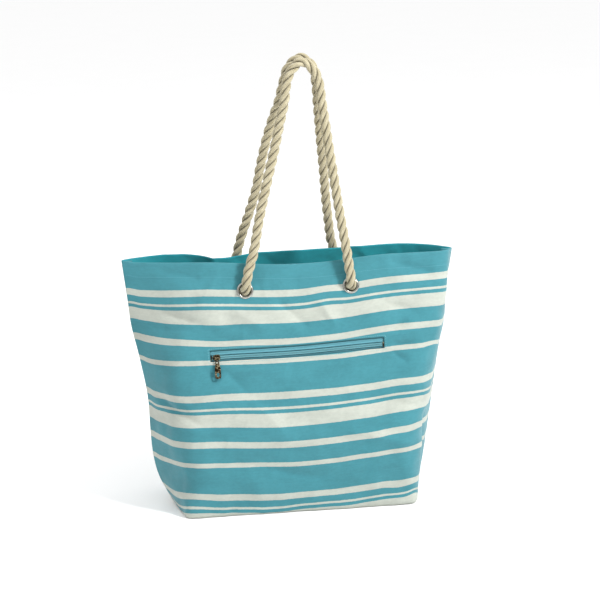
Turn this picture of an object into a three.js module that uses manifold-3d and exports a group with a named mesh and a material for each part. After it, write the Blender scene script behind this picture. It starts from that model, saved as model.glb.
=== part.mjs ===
// Striped canvas beach bag: two canvas panels that each wrap half of the gussets and half of the base,
// a welt zip pocket in the front panel, four eyelets and two twisted rope handles.
// Units are millimetres. +X runs along the mouth to the zip's open end, -Y is the front, +Z is up.
// The origin is on the ground under the middle of the base.
import * as THREE from "three";
import { mergeVertices } from "three/addons/utils/BufferGeometryUtils.js";
import Module from "manifold-3d";

const manifoldLibrary = await Module();
manifoldLibrary.setup();

// ---------- driving dimensions ----------
const CANVAS = 1.2;
const TOUCH_GAP = 0.3;
const LAYER_GAP = 0.4;
const BAG_HEIGHT = 382;
const BASE_ROUND = 6;
const HEM_WIDTH = 25;
const HEM_CLEAR_OF_SEAM = 24;

// The outline of the bag at six heights. Depths are how far a panel's flat middle stands off the seam plane.
const LEVELS = [0, 52, 119, 213, 307, 382];
const SEAMS = { left: [-183, -208, -219, -228, -243, -253], right: [195, 206, 216, 229, 241, 253] };
const FRONT = {
  side: -1,
  leftFold: [-176, -163, -176, -182, -161, -143],
  rightFold: [180, 180, 183, 204, 230, 238],
  depth: [82, 86, 86, 70, 51, 28],
  rimSag: 9,
  rimDip: { at: 0.62, width: 0.06, drop: 1 },
};
const BACK = {
  side: 1,
  leftFold: [-176, -170, -178, -186, -196, -204],
  rightFold: [182, 176, 184, 194, 204, 212],
  depth: [82, 86, 86, 74, 60, 46],
  rimSag: 3,
  rimDip: { at: 0.318, width: 0.074, drop: 9 },
};
// How much of each side the rounded fold takes up: crisp at the base, soft above.
const FOLD_BLEND = [14, 24, 34, 34, 34, 34];
// Each rim sags in its middle, over the share of its width given, and dips at one crease. Both fade below the rim.
const RIM_SAG_WIDTH = 0.6;
const RIM_SAG_FADE = 4;

// The coil's line: its middle, and the slope it is sewn in at, rising to the open end.
const ZIP_MIDDLE = 2;
const ZIP_HEIGHT = 247;
const ZIP_SLANT = 0.026;
// The window in the canvas reaches further above the coil than below it.
const ZIP_LENGTH = 265;
const WINDOW_ABOVE = 11;
const WINDOW_BELOW = 6;
const ZIP_TRAVEL_START = -123;
const COIL_GAP = 1.2;
const POCKET_DEPTH = 150;

const ROPE_RADIUS = 7.5;
const ROPE_SIDES = 10;
const ROPE_STEPS = 44;
const EYELET_HEIGHT = 339;
const EYELET_HOLE = 8.4;
const EYELET_BARREL = 9.2;
const EYELET_RIM = 12.6;
const HINGE_STAND_OFF = 10;
const ROUND_SIDES = 20;
const EYELET_PLACES = [-73, 88];

// Rope routes, from the hinge point at one eyelet over the top to the other. Chosen by hand.
const FRONT_ROPE = [
  [-67.5, -47, 371], [-59.5, -43, 396], [-48.5, -36, 447], [-34, -28, 503], [-23, -22.5, 543], [-13, -17, 584],
  [-4.5, -12, 617], [-1, -9.5, 641], [6.5, -8.2, 661], [23.5, -8, 674.5], [41, -8.2, 661], [48.5, -9.5, 641],
  [51.5, -12, 615], [56, -17, 580], [61, -22.5, 540], [66.5, -28.5, 498], [74, -36.5, 442], [80.5, -42.5, 400],
  [84, -47, 372],
];
const BACK_ROPE = [
  [-72, 57, 374], [-66, 53, 399], [-53, 44.5, 441], [-43, 37, 477], [-36, 31, 515], [-28, 25, 552],
  [-18, 19, 587], [-9, 13, 614], [-2, 9.5, 643], [5.5, 8.2, 665], [23.5, 8, 678.5], [41.5, 8.2, 665],
  [47, 9.5, 643], [49.5, 13, 613], [52.5, 19, 582], [56.5, 25.5, 542], [60.5, 32, 507], [64.5, 40, 465],
  [70, 48.5, 422], [75, 54, 389], [81.5, 58, 370],
];

const COLOURS = {
  canvas: 0x6fb0ba,
  canvasBack: 0x67a7b1,
  binding: 0x2f7d88,
  lining: 0xd9d6cc,
  tape: 0x63aab6,
  coil: 0x5aa3b0,
  brass: 0x9a8a68,
  nickel: 0xb9bcbf,
  rope: 0xd3cab2,
};

// ---------- materials ----------
function cloth(colour) {
  return new THREE.MeshStandardMaterial({ color: colour, roughness: 0.92, metalness: 0 });
}

function metal(colour) {
  return new THREE.MeshStandardMaterial({ color: colour, roughness: 0.32, metalness: 1 });
}

// ---------- solids ----------
function solidOf(geometry, matrix) {
  const bare = geometry.clone();
  if (matrix) bare.applyMatrix4(matrix);
  bare.deleteAttribute("normal");
  bare.deleteAttribute("uv");
  const merged = mergeVertices(bare, 1e-3);
  const mesh = new manifoldLibrary.Mesh({
    numProp: 3,
    vertProperties: new Float32Array(merged.attributes.position.array),
    triVerts: new Uint32Array(merged.index.array),
  });
  return new manifoldLibrary.Manifold(mesh);
}

function geometryOf(solid) {
  const mesh = solid.getMesh();
  const geometry = new THREE.BufferGeometry();
  geometry.setAttribute("position", new THREE.BufferAttribute(new Float32Array(mesh.vertProperties), 3));
  geometry.setIndex(new THREE.BufferAttribute(new Uint32Array(mesh.triVerts), 1));
  geometry.computeVertexNormals();
  return geometry;
}

function named(name, geometry, material) {
  const mesh = new THREE.Mesh(geometry, material);
  mesh.name = name;
  return mesh;
}

function boxBetween(low, high) {
  const size = new THREE.Vector3().subVectors(high, low);
  const box = new THREE.BoxGeometry(size.x, size.y, size.z);
  const middle = new THREE.Vector3().addVectors(low, high).multiplyScalar(0.5);
  return box.translate(middle.x, middle.y, middle.z);
}

function box(x0, x1, y0, y1, z0, z1) {
  return boxBetween(new THREE.Vector3(x0, y0, z0), new THREE.Vector3(x1, y1, z1));
}

// A closed skin over equal rings of points, with both ends closed by a fan.
function loftRings(rings) {
  const count = rings[0].length;
  const positions = rings.flat().flatMap((point) => [point.x, point.y, point.z]);
  const index = [];
  for (let ring = 0; ring + 1 < rings.length; ring += 1) {
    for (let step = 0; step < count; step += 1) {
      const a = ring * count + step;
      const b = ring * count + ((step + 1) % count);
      index.push(a, b, b + count, a, b + count, a + count);
    }
  }
  const ends = [
    { ring: 0, flip: true },
    { ring: rings.length - 1, flip: false },
  ];
  for (const { ring, flip } of ends) {
    const middle = new THREE.Vector3();
    rings[ring].forEach((point) => middle.add(point));
    middle.multiplyScalar(1 / count);
    const centre = positions.length / 3;
    positions.push(middle.x, middle.y, middle.z);
    for (let step = 0; step < count; step += 1) {
      const a = ring * count + step;
      const b = ring * count + ((step + 1) % count);
      index.push(centre, flip ? b : a, flip ? a : b);
    }
  }
  const geometry = new THREE.BufferGeometry();
  geometry.setAttribute("position", new THREE.Float32BufferAttribute(positions, 3));
  geometry.setIndex(index);
  return geometry;
}

// ---------- the bag's shape ----------
// A smooth curve through one value per level, read at any height.
function levelValue(values, height) {
  const last = LEVELS.length - 1;
  let low = 0;
  while (low < last - 1 && height > LEVELS[low + 1]) low += 1;
  const slopeAt = (level) => {
    const before = Math.max(level - 1, 0);
    const after = Math.min(level + 1, last);
    return (values[after] - values[before]) / (LEVELS[after] - LEVELS[before]);
  };
  const span = LEVELS[low + 1] - LEVELS[low];
  const t = (height - LEVELS[low]) / span;
  const t2 = t * t;
  const t3 = t2 * t;
  const fromLow = (2 * t3 - 3 * t2 + 1) * values[low] + (t3 - 2 * t2 + t) * span * slopeAt(low);
  const fromHigh = (3 * t2 - 2 * t3) * values[low + 1] + (t3 - t2) * span * slopeAt(low + 1);
  return fromLow + fromHigh;
}

// One panel's outline at a height, from the left seam round both folds to the right seam.
function panelOutline(panel, height) {
  const y = panel.side * levelValue(panel.depth, height);
  const corners = [
    new THREE.Vector2(levelValue(SEAMS.left, height), 0),
    new THREE.Vector2(levelValue(panel.leftFold, height), y),
    new THREE.Vector2(levelValue(panel.rightFold, height), y),
    new THREE.Vector2(levelValue(SEAMS.right, height), 0),
  ];
  const path = new THREE.CurvePath();
  let start = corners[0];
  for (let fold = 1; fold <= 2; fold += 1) {
    const corner = corners[fold];
    const towards = (other) => {
      const reach = Math.min(levelValue(FOLD_BLEND, height), 0.48 * corner.distanceTo(other));
      return corner.clone().lerp(other, reach / corner.distanceTo(other));
    };
    const enter = towards(corners[fold - 1]);
    const leave = towards(corners[fold + 1]);
    path.add(new THREE.LineCurve(start, enter));
    path.add(new THREE.QuadraticBezierCurve(enter, corner, leave));
    start = leave;
  }
  path.add(new THREE.LineCurve(start, corners[3]));
  return path;
}

// How far a panel's rim, and the canvas just below it, hangs down at u, the share of the way across.
function rimDrop(panel, u, height) {
  const across = Math.min(1, Math.abs(2 * u - 1) / RIM_SAG_WIDTH);
  const sag = panel.rimSag * Math.cos(across * Math.PI / 2) ** 2;
  const dip = panel.rimDip.drop * Math.exp(-(((u - panel.rimDip.at) / panel.rimDip.width) ** 2));
  return -(sag + dip) * (height / BAG_HEIGHT) ** RIM_SAG_FADE;
}

const RING_STEPS = 22;
// The heights where the faceted shape has an edge. The zip and the eyelets each lie inside one band.
const RING_HEIGHTS = [BASE_ROUND, 28, 52, 85, 119, 152, 185, 211, 228, 278, 303, 322, 355, BAG_HEIGHT];

// One closed ring round the bag, moved inwards by inset.
function bagRing(height, inset, z) {
  const outline = [];
  for (const panel of [FRONT, BACK]) {
    const path = panelOutline(panel, height);
    for (let step = 0; step < RING_STEPS; step += 1) {
      const along = panel === FRONT ? step / RING_STEPS : 1 - step / RING_STEPS;
      const point = path.getPointAt(along);
      outline.push(new THREE.Vector3(point.x, point.y, z + rimDrop(panel, along, height)));
    }
  }
  return outline.map((point, i) => {
    const before = outline[(i + outline.length - 1) % outline.length];
    const after = outline[(i + 1) % outline.length];
    const inwards = new THREE.Vector2(before.y - after.y, after.x - before.x).normalize();
    return new THREE.Vector3(point.x + inwards.x * inset, point.y + inwards.y * inset, point.z);
  });
}

// The whole bag as one closed solid, moved inwards by inset. A lifted top cuts clean through the rim.
function bagSolid(inset, lift) {
  const rings = [bagRing(0, inset + BASE_ROUND, inset)];
  for (const height of RING_HEIGHTS) {
    rings.push(bagRing(height, inset, Math.max(height, inset + BASE_ROUND)));
  }
  if (lift > 0) rings.push(bagRing(BAG_HEIGHT, inset, BAG_HEIGHT + lift));
  return solidOf(loftRings(rings));
}

// The plane of a panel's face at a place: local X runs along the face, Y into the bag and Z up the face.
function faceFrame(panel, x, low, high) {
  const pointAt = (height) => {
    const path = panelOutline(panel, height);
    let u = 0.5;
    for (let round = 0; round < 20; round += 1) u += (x - path.getPointAt(u).x) / path.getLength();
    const point = path.getPointAt(u);
    return new THREE.Vector3(point.x, point.y, height + rimDrop(panel, u, height));
  };
  const bottom = pointAt(low);
  const top = pointAt(high);
  const tilt = Math.atan2(top.y - bottom.y, top.z - bottom.z);
  const group = new THREE.Group();
  group.rotation.set(-tilt, 0, 0);
  if (panel.side > 0) group.rotateZ(Math.PI);
  return { group, bottom, top };
}

function placeOnFace(panel, x, height, low, high) {
  const { group, bottom, top } = faceFrame(panel, x, low, high);
  const share = (height - bottom.z) / (top.z - bottom.z);
  group.position.lerpVectors(bottom, top, share);
  group.updateMatrixWorld(true);
  return group;
}

function zipPlace() {
  const place = placeOnFace(FRONT, ZIP_MIDDLE, ZIP_HEIGHT, 228, 278);
  place.rotateY(-ZIP_SLANT);
  place.updateMatrixWorld(true);
  return place;
}

const frontZipPlace = zipPlace();
const eyeletPlaces = [["front", FRONT], ["back", BACK]].flatMap(([end, panel]) => {
  return EYELET_PLACES.map((x) => {
    const place = placeOnFace(panel, x, EYELET_HEIGHT, 322, 355);
    return { side: x < 0 ? "left" : "right", end, panel, place };
  });
});

// The two ends of a handle, level with each other so that one straight axis runs through both.
function hingePoints(eyelets) {
  const points = eyelets.map((eyelet) => {
    return new THREE.Vector3(0, -HINGE_STAND_OFF, 0).applyMatrix4(eyelet.place.matrixWorld);
  });
  const middle = points[0].clone().lerp(points[1], 0.5);
  return points.map((point) => new THREE.Vector3(point.x, middle.y, middle.z));
}

// ---------- canvas panels ----------
const CLEAR_HOLE = EYELET_BARREL + TOUCH_GAP;
const CUT_REACH = 30;

function bagShell() {
  return bagSolid(0, 0).subtract(bagSolid(CANVAS, HEM_WIDTH));
}

function halfSpace(side) {
  const reach = 400;
  const near = side * TOUCH_GAP / 2;
  const far = side * reach;
  return solidOf(box(-reach, reach, Math.min(near, far), Math.max(near, far), -reach, 2 * reach));
}

function eyeletCutter(eyelet) {
  return solidOf(new THREE.CylinderGeometry(CLEAR_HOLE, CLEAR_HOLE, CUT_REACH, 24), eyelet.place.matrixWorld);
}

function canvasPanel(name, panel, shell, material) {
  let solid = shell.intersect(halfSpace(panel.side));
  for (const eyelet of eyeletPlaces) {
    if (eyelet.panel === panel) solid = solid.subtract(eyeletCutter(eyelet));
  }
  if (panel === FRONT) {
    const half = ZIP_LENGTH / 2;
    const window = box(-half, half, -CUT_REACH / 2, CUT_REACH / 2, -WINDOW_BELOW, WINDOW_ABOVE);
    solid = solid.subtract(solidOf(window, frontZipPlace.matrixWorld));
  }
  return named(name, geometryOf(solid), material);
}

// The hem facing: the turned-in top edge of a panel, a thin band inside the rim that stops short of the seams.
function hemFacing(name, panel, material) {
  const outer = CANVAS + TOUCH_GAP;
  const band = bagSolid(outer, 0).subtract(bagSolid(outer + CANVAS, HEM_WIDTH));
  const left = SEAMS.left.at(-1) + HEM_CLEAR_OF_SEAM;
  const right = SEAMS.right.at(-1) - HEM_CLEAR_OF_SEAM;
  const region = box(left, right, -200, 200, BAG_HEIGHT - HEM_WIDTH, 2 * BAG_HEIGHT);
  const solid = band.intersect(halfSpace(panel.side)).intersect(solidOf(region));
  return named(name, geometryOf(solid), material);
}

// ---------- bound seams inside ----------
const BINDING = 2;
const BINDING_WIDTH = 10;
const BINDING_START = 14;

function seamBinding(name, seam, material) {
  const towardsMiddle = seam === SEAMS.left ? 1 : -1;
  const top = BAG_HEIGHT - HEM_WIDTH - 2 * TOUCH_GAP;
  const heights = [BINDING_START, ...RING_HEIGHTS.filter((z) => z > BINDING_START && z < top), top];
  const reach = 24;
  const rings = heights.map((height) => {
    const edge = levelValue(seam, height);
    const far = edge + towardsMiddle * reach;
    const near = far - towardsMiddle * BINDING_WIDTH;
    const ring = [
      new THREE.Vector3(near, -BINDING / 2, height), new THREE.Vector3(far, -BINDING / 2, height),
      new THREE.Vector3(far, BINDING / 2, height), new THREE.Vector3(near, BINDING / 2, height),
    ];
    return towardsMiddle > 0 ? ring : ring.reverse();
  });
  const clearance = bagSolid(CANVAS + TOUCH_GAP, 0);
  return named(name, geometryOf(solidOf(loftRings(rings)).intersect(clearance)), material);
}

function cornerBinding(name, left, material) {
  const sign = left ? 1 : -1;
  const seamX = (left ? SEAMS.left : SEAMS.right)[0] + sign * (BASE_ROUND + 9);
  const foldX = seamX + sign * 9;
  const halfDepth = 60;
  const low = CANVAS + TOUCH_GAP;
  const high = low + BINDING_WIDTH;
  const line = [[foldX, -halfDepth], [seamX, 0], [foldX, halfDepth]];
  const rings = line.map(([x, y]) => [
    new THREE.Vector3(x, y, low), new THREE.Vector3(x, y, high),
    new THREE.Vector3(x + BINDING, y, high), new THREE.Vector3(x + BINDING, y, low),
  ]);
  return named(name, geometryOf(solidOf(loftRings(rings))), material);
}

function baseBinding(material) {
  const low = CANVAS + TOUCH_GAP;
  const ends = [SEAMS.left[0] + 32, SEAMS.right[0] - 30];
  const bar = box(ends[0], ends[1], -BINDING / 2, BINDING / 2, low, low + BINDING_WIDTH);
  return named("base_seam_binding", bar, material);
}

// ---------- zip pocket, built in the frame of the front face ----------
const THIN_CLOTH = 0.6;
const WELT_MARGIN = 8;
const TAPE_HALF_HEIGHT = 16;
const WELT_BACK = CANVAS + LAYER_GAP + THIN_CLOTH;
const TAPE_FRONT = WELT_BACK + TOUCH_GAP;
const TAPE_BACK = TAPE_FRONT + THIN_CLOTH;
const COIL_FRONT = 0.2;
const COIL_HALF = 3.4;
const STOP_LENGTH = 2.4;

function zipWelt() {
  const half = ZIP_LENGTH / 2;
  const end = half + WELT_MARGIN;
  const low = -WINDOW_BELOW - WELT_MARGIN;
  const high = WINDOW_ABOVE + WELT_MARGIN;
  const outer = solidOf(box(-end, end, CANVAS + LAYER_GAP, WELT_BACK, low, high));
  const hole = solidOf(box(-half, half, 0, CUT_REACH, -WINDOW_BELOW, WINDOW_ABOVE));
  return named("zip_window_welt", geometryOf(outer.subtract(hole)), cloth(COLOURS.canvas));
}

function zipTape(name, side) {
  const half = ZIP_LENGTH / 2 + 6;
  const edges = [side * (COIL_GAP / 2 + 1), side * TAPE_HALF_HEIGHT].sort((a, b) => a - b);
  return named(name, box(-half, half, TAPE_FRONT, TAPE_BACK, edges[0], edges[1]), cloth(COLOURS.tape));
}

// Half of the coil: a ridge with a rounded front, along the inner edge of one tape.
function zipCoil(name, side) {
  const half = ZIP_LENGTH / 2 - STOP_LENGTH - 1;
  const depth = TAPE_FRONT - TOUCH_GAP - COIL_FRONT;
  const inner = COIL_GAP / 2;
  const profile = new THREE.Shape();
  profile.moveTo(inner, 0);
  profile.lineTo(COIL_HALF, 0);
  profile.quadraticCurveTo(COIL_HALF, depth, inner + 1, depth);
  profile.lineTo(inner, depth);
  profile.closePath();
  const ridge = new THREE.ExtrudeGeometry(profile, { depth: 2 * half, bevelEnabled: false, curveSegments: 4 });
  // The shape's x becomes local Z, its y becomes -Y from the tape, and its depth runs along X.
  const place = new THREE.Matrix4().makeBasis(
    new THREE.Vector3(0, 0, side), new THREE.Vector3(0, -1, 0), new THREE.Vector3(side, 0, 0),
  );
  place.setPosition(-side * half, TAPE_FRONT - TOUCH_GAP, 0);
  return named(name, geometryOf(solidOf(ridge, place)), cloth(COLOURS.coil));
}

function zipStop(name, x) {
  const staple = box(x, x + STOP_LENGTH, COIL_FRONT - 0.3, TAPE_FRONT - TOUCH_GAP, -COIL_HALF, COIL_HALF);
  return named(name, staple, metal(COLOURS.brass));
}

// The pouch behind the window: thin walls, open at the zip.
function pocketBag() {
  const half = ZIP_LENGTH / 2 + 6;
  const wall = 0.8;
  const front = frontZipPlace.position.y + 7.5;
  const thickness = 9;
  const top = ZIP_HEIGHT + 20;
  const bottom = top - POCKET_DEPTH;
  const outer = solidOf(box(ZIP_MIDDLE - half, ZIP_MIDDLE + half, front, front + thickness, bottom, top));
  const left = ZIP_MIDDLE - half + wall;
  const right = ZIP_MIDDLE + half - wall;
  const inner = box(left, right, front + wall, front + thickness - wall, bottom + wall, top - wall);
  const mouth = box(left + 6, right - 6, front - 5, front + 4, ZIP_HEIGHT - 7, ZIP_HEIGHT + 10);
  return named("pocket_bag", geometryOf(outer.subtract(solidOf(inner)).subtract(solidOf(mouth))),
    cloth(COLOURS.lining));
}

const SLIDER_LENGTH = 11;
const SLIDER_HALF = 4.4;
const PLATE = 1;
const PLATE_GAP = 0.4;
const FRONT_PLATE = COIL_FRONT - PLATE_GAP - PLATE;
const BAIL_HEIGHT = 3.6;
const BAIL_LENGTH = 8;
const BAIL_WIRE = 1.2;
const BAIL_WIDTH = 2;

function sliderPlate(y) {
  const shape = new THREE.Shape();
  const nose = SLIDER_LENGTH / 2;
  shape.moveTo(-nose, -SLIDER_HALF * 0.7);
  shape.quadraticCurveTo(-nose * 0.4, -SLIDER_HALF, 0, -SLIDER_HALF);
  shape.lineTo(nose * 0.6, -SLIDER_HALF);
  shape.quadraticCurveTo(nose, -SLIDER_HALF * 0.8, nose, 0);
  shape.quadraticCurveTo(nose, SLIDER_HALF * 0.8, nose * 0.6, SLIDER_HALF);
  shape.lineTo(0, SLIDER_HALF);
  shape.quadraticCurveTo(-nose * 0.4, SLIDER_HALF, -nose, SLIDER_HALF * 0.7);
  shape.closePath();
  const plate = new THREE.ExtrudeGeometry(shape, { depth: PLATE, bevelEnabled: false, curveSegments: 4 });
  // Stand the plate up in the plane of the tape: the shape's y becomes local Z.
  plate.rotateX(Math.PI / 2);
  return solidOf(plate.translate(0, y + PLATE, 0));
}

function zipSlider() {
  const backPlate = TAPE_BACK + PLATE_GAP;
  const postHalf = (COIL_GAP - 2 * LAYER_GAP) / 2 + 0.05;
  const bailBack = FRONT_PLATE - BAIL_HEIGHT;
  const arch = solidOf(box(-BAIL_LENGTH / 2, BAIL_LENGTH / 2, bailBack, FRONT_PLATE + 0.4, -BAIL_WIDTH / 2,
    BAIL_WIDTH / 2));
  const archHole = solidOf(box(-BAIL_LENGTH / 2 + BAIL_WIRE, BAIL_LENGTH / 2 - BAIL_WIRE, bailBack + BAIL_WIRE,
    FRONT_PLATE, -BAIL_WIDTH, BAIL_WIDTH));
  const flangeBack = TAPE_FRONT - PLATE_GAP;
  const flange = (z0, z1) => solidOf(box(-2, SLIDER_LENGTH / 2 - 2.4, FRONT_PLATE + 0.4, flangeBack, z0, z1));
  const post = solidOf(box(1, 3.2, FRONT_PLATE + 0.4, backPlate + 0.4, -postHalf, postHalf));
  const solid = sliderPlate(FRONT_PLATE)
    .add(sliderPlate(backPlate))
    .add(arch.subtract(archHole))
    .add(flange(COIL_HALF + TOUCH_GAP, SLIDER_HALF))
    .add(flange(-SLIDER_HALF, -COIL_HALF - TOUCH_GAP))
    .add(post);
  return named("zip_slider", geometryOf(solid), metal(COLOURS.brass));
}

const BAIL_BAR_Y = FRONT_PLATE - BAIL_HEIGHT + BAIL_WIRE / 2;
const LINK_RADIUS = 1.75;
const LINK_WIRE = 0.45;
const LINK_STRETCH = 4.6;

function zipLink() {
  const ring = new THREE.TorusGeometry(LINK_RADIUS, LINK_WIRE, 8, 20).rotateY(Math.PI / 2);
  const position = ring.attributes.position;
  for (let i = 0; i < position.count; i += 1) {
    if (position.getZ(i) < -1e-6) position.setZ(i, position.getZ(i) - LINK_STRETCH);
  }
  return named("zip_link", geometryOf(solidOf(ring.translate(0, BAIL_BAR_Y, 0))), metal(COLOURS.brass));
}

function zipPull() {
  const holeRadius = 1.5;
  const rimAboveHole = 1;
  const halfWidth = 4.6;
  const length = 27;
  const thickness = 1.3;
  const linkBottom = -LINK_STRETCH - LINK_RADIUS;
  const holeZ = linkBottom + LINK_WIRE + TOUCH_GAP - holeRadius;
  const top = holeZ + holeRadius + rimAboveHole;
  const shape = new THREE.Shape();
  shape.moveTo(-2.4, top);
  shape.lineTo(2.4, top);
  shape.quadraticCurveTo(halfWidth, top - 3, halfWidth, top - 8);
  shape.lineTo(halfWidth, top - length + 3);
  shape.quadraticCurveTo(halfWidth, top - length, halfWidth - 3, top - length);
  shape.lineTo(-halfWidth + 3, top - length);
  shape.quadraticCurveTo(-halfWidth, top - length, -halfWidth, top - length + 3);
  shape.lineTo(-halfWidth, top - 8);
  shape.quadraticCurveTo(-halfWidth, top - 3, -2.4, top);
  const hole = new THREE.Path().absarc(0, holeZ, holeRadius, 0, 2 * Math.PI);
  shape.holes.push(hole);
  const slot = new THREE.Path().absarc(0, top - length + 6, 1.8, 0, 2 * Math.PI);
  shape.holes.push(slot);
  const tab = new THREE.ExtrudeGeometry(shape, { depth: thickness, bevelEnabled: false, curveSegments: 6 });
  tab.rotateX(Math.PI / 2).translate(0, BAIL_BAR_Y + thickness / 2, 0);
  return named("zip_pull", geometryOf(solidOf(tab)), metal(COLOURS.brass));
}

function zipPocket() {
  const onFace = new THREE.Group();
  onFace.position.copy(frontZipPlace.position);
  onFace.rotation.copy(frontZipPlace.rotation);
  onFace.add(zipWelt());
  onFace.add(zipTape("zip_tape_upper", 1), zipTape("zip_tape_lower", -1));
  onFace.add(zipCoil("zip_coil_upper", 1), zipCoil("zip_coil_lower", -1));
  const half = ZIP_LENGTH / 2;
  onFace.add(zipStop("zip_top_stop", -half + 0.3), zipStop("zip_bottom_stop", half - STOP_LENGTH - 0.3));
  const slider = new THREE.Group();
  slider.position.x = ZIP_TRAVEL_START;
  slider.add(zipSlider(), zipLink(), zipPull());
  onFace.add(slider);
  const pocket = new THREE.Group();
  pocket.add(onFace, pocketBag());
  return pocket;
}

// ---------- eyelets and rope ----------
const FLANGE_FRONT = -LAYER_GAP - 1.6;
const WASHER_FRONT = CANVAS + LAYER_GAP;
const WASHER_BACK = WASHER_FRONT + 0.9;

// A profile of [radius, distance into the bag] turned about the hole's axis.
function turned(profile) {
  const points = profile.map(([radius, y]) => new THREE.Vector2(radius, y)).reverse();
  return solidOf(new THREE.LatheGeometry([...points, points[0]], ROUND_SIDES));
}

function eyeletSolid() {
  return turned([
    [EYELET_HOLE, FLANGE_FRONT + 0.8],
    [EYELET_HOLE, WASHER_BACK + 0.3],
    [EYELET_BARREL, WASHER_BACK + 0.3],
    [EYELET_BARREL, -LAYER_GAP],
    [EYELET_RIM - 0.3, -LAYER_GAP],
    [EYELET_RIM, -LAYER_GAP - 0.5],
    [EYELET_RIM - 1, FLANGE_FRONT + 0.3],
    [EYELET_RIM - 2.2, FLANGE_FRONT],
    [EYELET_HOLE + 0.9, FLANGE_FRONT],
  ]);
}

function washerSolid() {
  return turned([
    [EYELET_BARREL + TOUCH_GAP, WASHER_FRONT],
    [EYELET_BARREL + TOUCH_GAP, WASHER_BACK],
    [EYELET_RIM - 0.4, WASHER_BACK],
    [EYELET_RIM, WASHER_FRONT + 0.4],
    [EYELET_RIM, WASHER_FRONT],
  ]);
}

const KNOT_DEPTH = WASHER_BACK + 17;
const TAIL_LENGTH = 34;

// The end of a rope: through the eyelet, into a knot that can't pull back, and a short tail.
function ropeEndSolid() {
  const stubStart = FLANGE_FRONT + TOUCH_GAP;
  const stubLength = KNOT_DEPTH - stubStart;
  const stub = new THREE.CylinderGeometry(ROPE_RADIUS, ROPE_RADIUS, stubLength, ROUND_SIDES);
  stub.translate(0, stubStart + stubLength / 2, 0);
  const knot = new THREE.SphereGeometry(1, 16, 10).scale(18, 15.5, 17).translate(0, KNOT_DEPTH, 0);
  const tail = new THREE.CylinderGeometry(ROPE_RADIUS, ROPE_RADIUS, TAIL_LENGTH, ROUND_SIDES);
  tail.rotateX(Math.PI / 2).translate(2, KNOT_DEPTH, -TAIL_LENGTH / 2);
  return solidOf(stub).add(solidOf(knot)).add(solidOf(tail));
}

function eyeletGroup(eyelet) {
  const group = new THREE.Group();
  group.position.copy(eyelet.place.position);
  group.rotation.copy(eyelet.place.rotation);
  const label = `${eyelet.end}_${eyelet.side}`;
  group.add(named(`${label}_eyelet`, geometryOf(eyeletSolid()), metal(COLOURS.nickel)));
  group.add(named(`${label}_washer`, geometryOf(washerSolid()), metal(COLOURS.nickel)));
  group.add(named(`${label}_rope_end`, geometryOf(ropeEndSolid()), cloth(COLOURS.rope)));
  return group;
}

function ropeHandle(name, route, eyelets) {
  const [start, finish] = hingePoints(eyelets);
  const between = route.map(([x, y, z]) => new THREE.Vector3(x, y, z));
  const curve = new THREE.CatmullRomCurve3([start, ...between, finish], false, "centripetal");
  const section = new THREE.Shape();
  section.absarc(0, 0, ROPE_RADIUS, 0, 2 * Math.PI);
  const tube = new THREE.ExtrudeGeometry(section, {
    steps: ROPE_STEPS,
    curveSegments: ROPE_SIDES / 2,
    bevelEnabled: false,
    extrudePath: curve,
  });
  let solid = solidOf(tube);
  for (const end of [start, finish]) {
    const cap = new THREE.SphereGeometry(ROPE_RADIUS, ROPE_SIDES, ROPE_SIDES / 2);
    solid = solid.add(solidOf(cap.translate(end.x, end.y, end.z)));
  }
  return named(name, geometryOf(solid), cloth(COLOURS.rope));
}

// ---------- the bag ----------
function beachBag() {
  const bag = new THREE.Group();
  const shell = bagShell();
  bag.add(canvasPanel("front_panel", FRONT, shell, cloth(COLOURS.canvas)));
  bag.add(canvasPanel("back_panel", BACK, shell, cloth(COLOURS.canvasBack)));
  bag.add(hemFacing("front_hem_facing", FRONT, cloth(COLOURS.binding)));
  bag.add(hemFacing("back_hem_facing", BACK, cloth(COLOURS.binding)));
  bag.add(seamBinding("left_seam_binding", SEAMS.left, cloth(COLOURS.binding)));
  bag.add(seamBinding("right_seam_binding", SEAMS.right, cloth(COLOURS.binding)));
  bag.add(cornerBinding("left_corner_binding", true, cloth(COLOURS.binding)));
  bag.add(cornerBinding("right_corner_binding", false, cloth(COLOURS.binding)));
  bag.add(baseBinding(cloth(COLOURS.binding)));
  bag.add(zipPocket());
  eyeletPlaces.forEach((eyelet) => bag.add(eyeletGroup(eyelet)));
  const endsOf = (panel) => eyeletPlaces.filter((eyelet) => eyelet.panel === panel);
  bag.add(ropeHandle("front_rope_handle", FRONT_ROPE, endsOf(FRONT)));
  bag.add(ropeHandle("back_rope_handle", BACK_ROPE, endsOf(BACK)));
  return bag;
}

export default beachBag();
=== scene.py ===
import math

import bpy
import numpy as np
from mathutils import Matrix, Vector


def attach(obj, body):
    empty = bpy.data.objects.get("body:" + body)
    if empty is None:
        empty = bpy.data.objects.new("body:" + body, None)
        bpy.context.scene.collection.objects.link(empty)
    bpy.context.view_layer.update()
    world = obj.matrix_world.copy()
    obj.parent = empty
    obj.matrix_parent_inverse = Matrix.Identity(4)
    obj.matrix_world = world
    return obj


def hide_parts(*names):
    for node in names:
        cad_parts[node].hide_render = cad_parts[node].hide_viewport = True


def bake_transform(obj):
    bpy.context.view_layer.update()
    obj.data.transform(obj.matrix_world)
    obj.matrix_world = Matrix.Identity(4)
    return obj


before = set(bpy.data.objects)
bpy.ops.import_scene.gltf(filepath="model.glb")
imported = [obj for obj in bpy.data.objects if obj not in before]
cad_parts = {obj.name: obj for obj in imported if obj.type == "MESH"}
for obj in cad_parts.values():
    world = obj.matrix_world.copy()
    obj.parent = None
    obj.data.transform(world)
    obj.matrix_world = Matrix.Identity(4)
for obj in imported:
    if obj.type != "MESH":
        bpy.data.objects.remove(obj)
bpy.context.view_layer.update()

MM = 0.001

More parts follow.
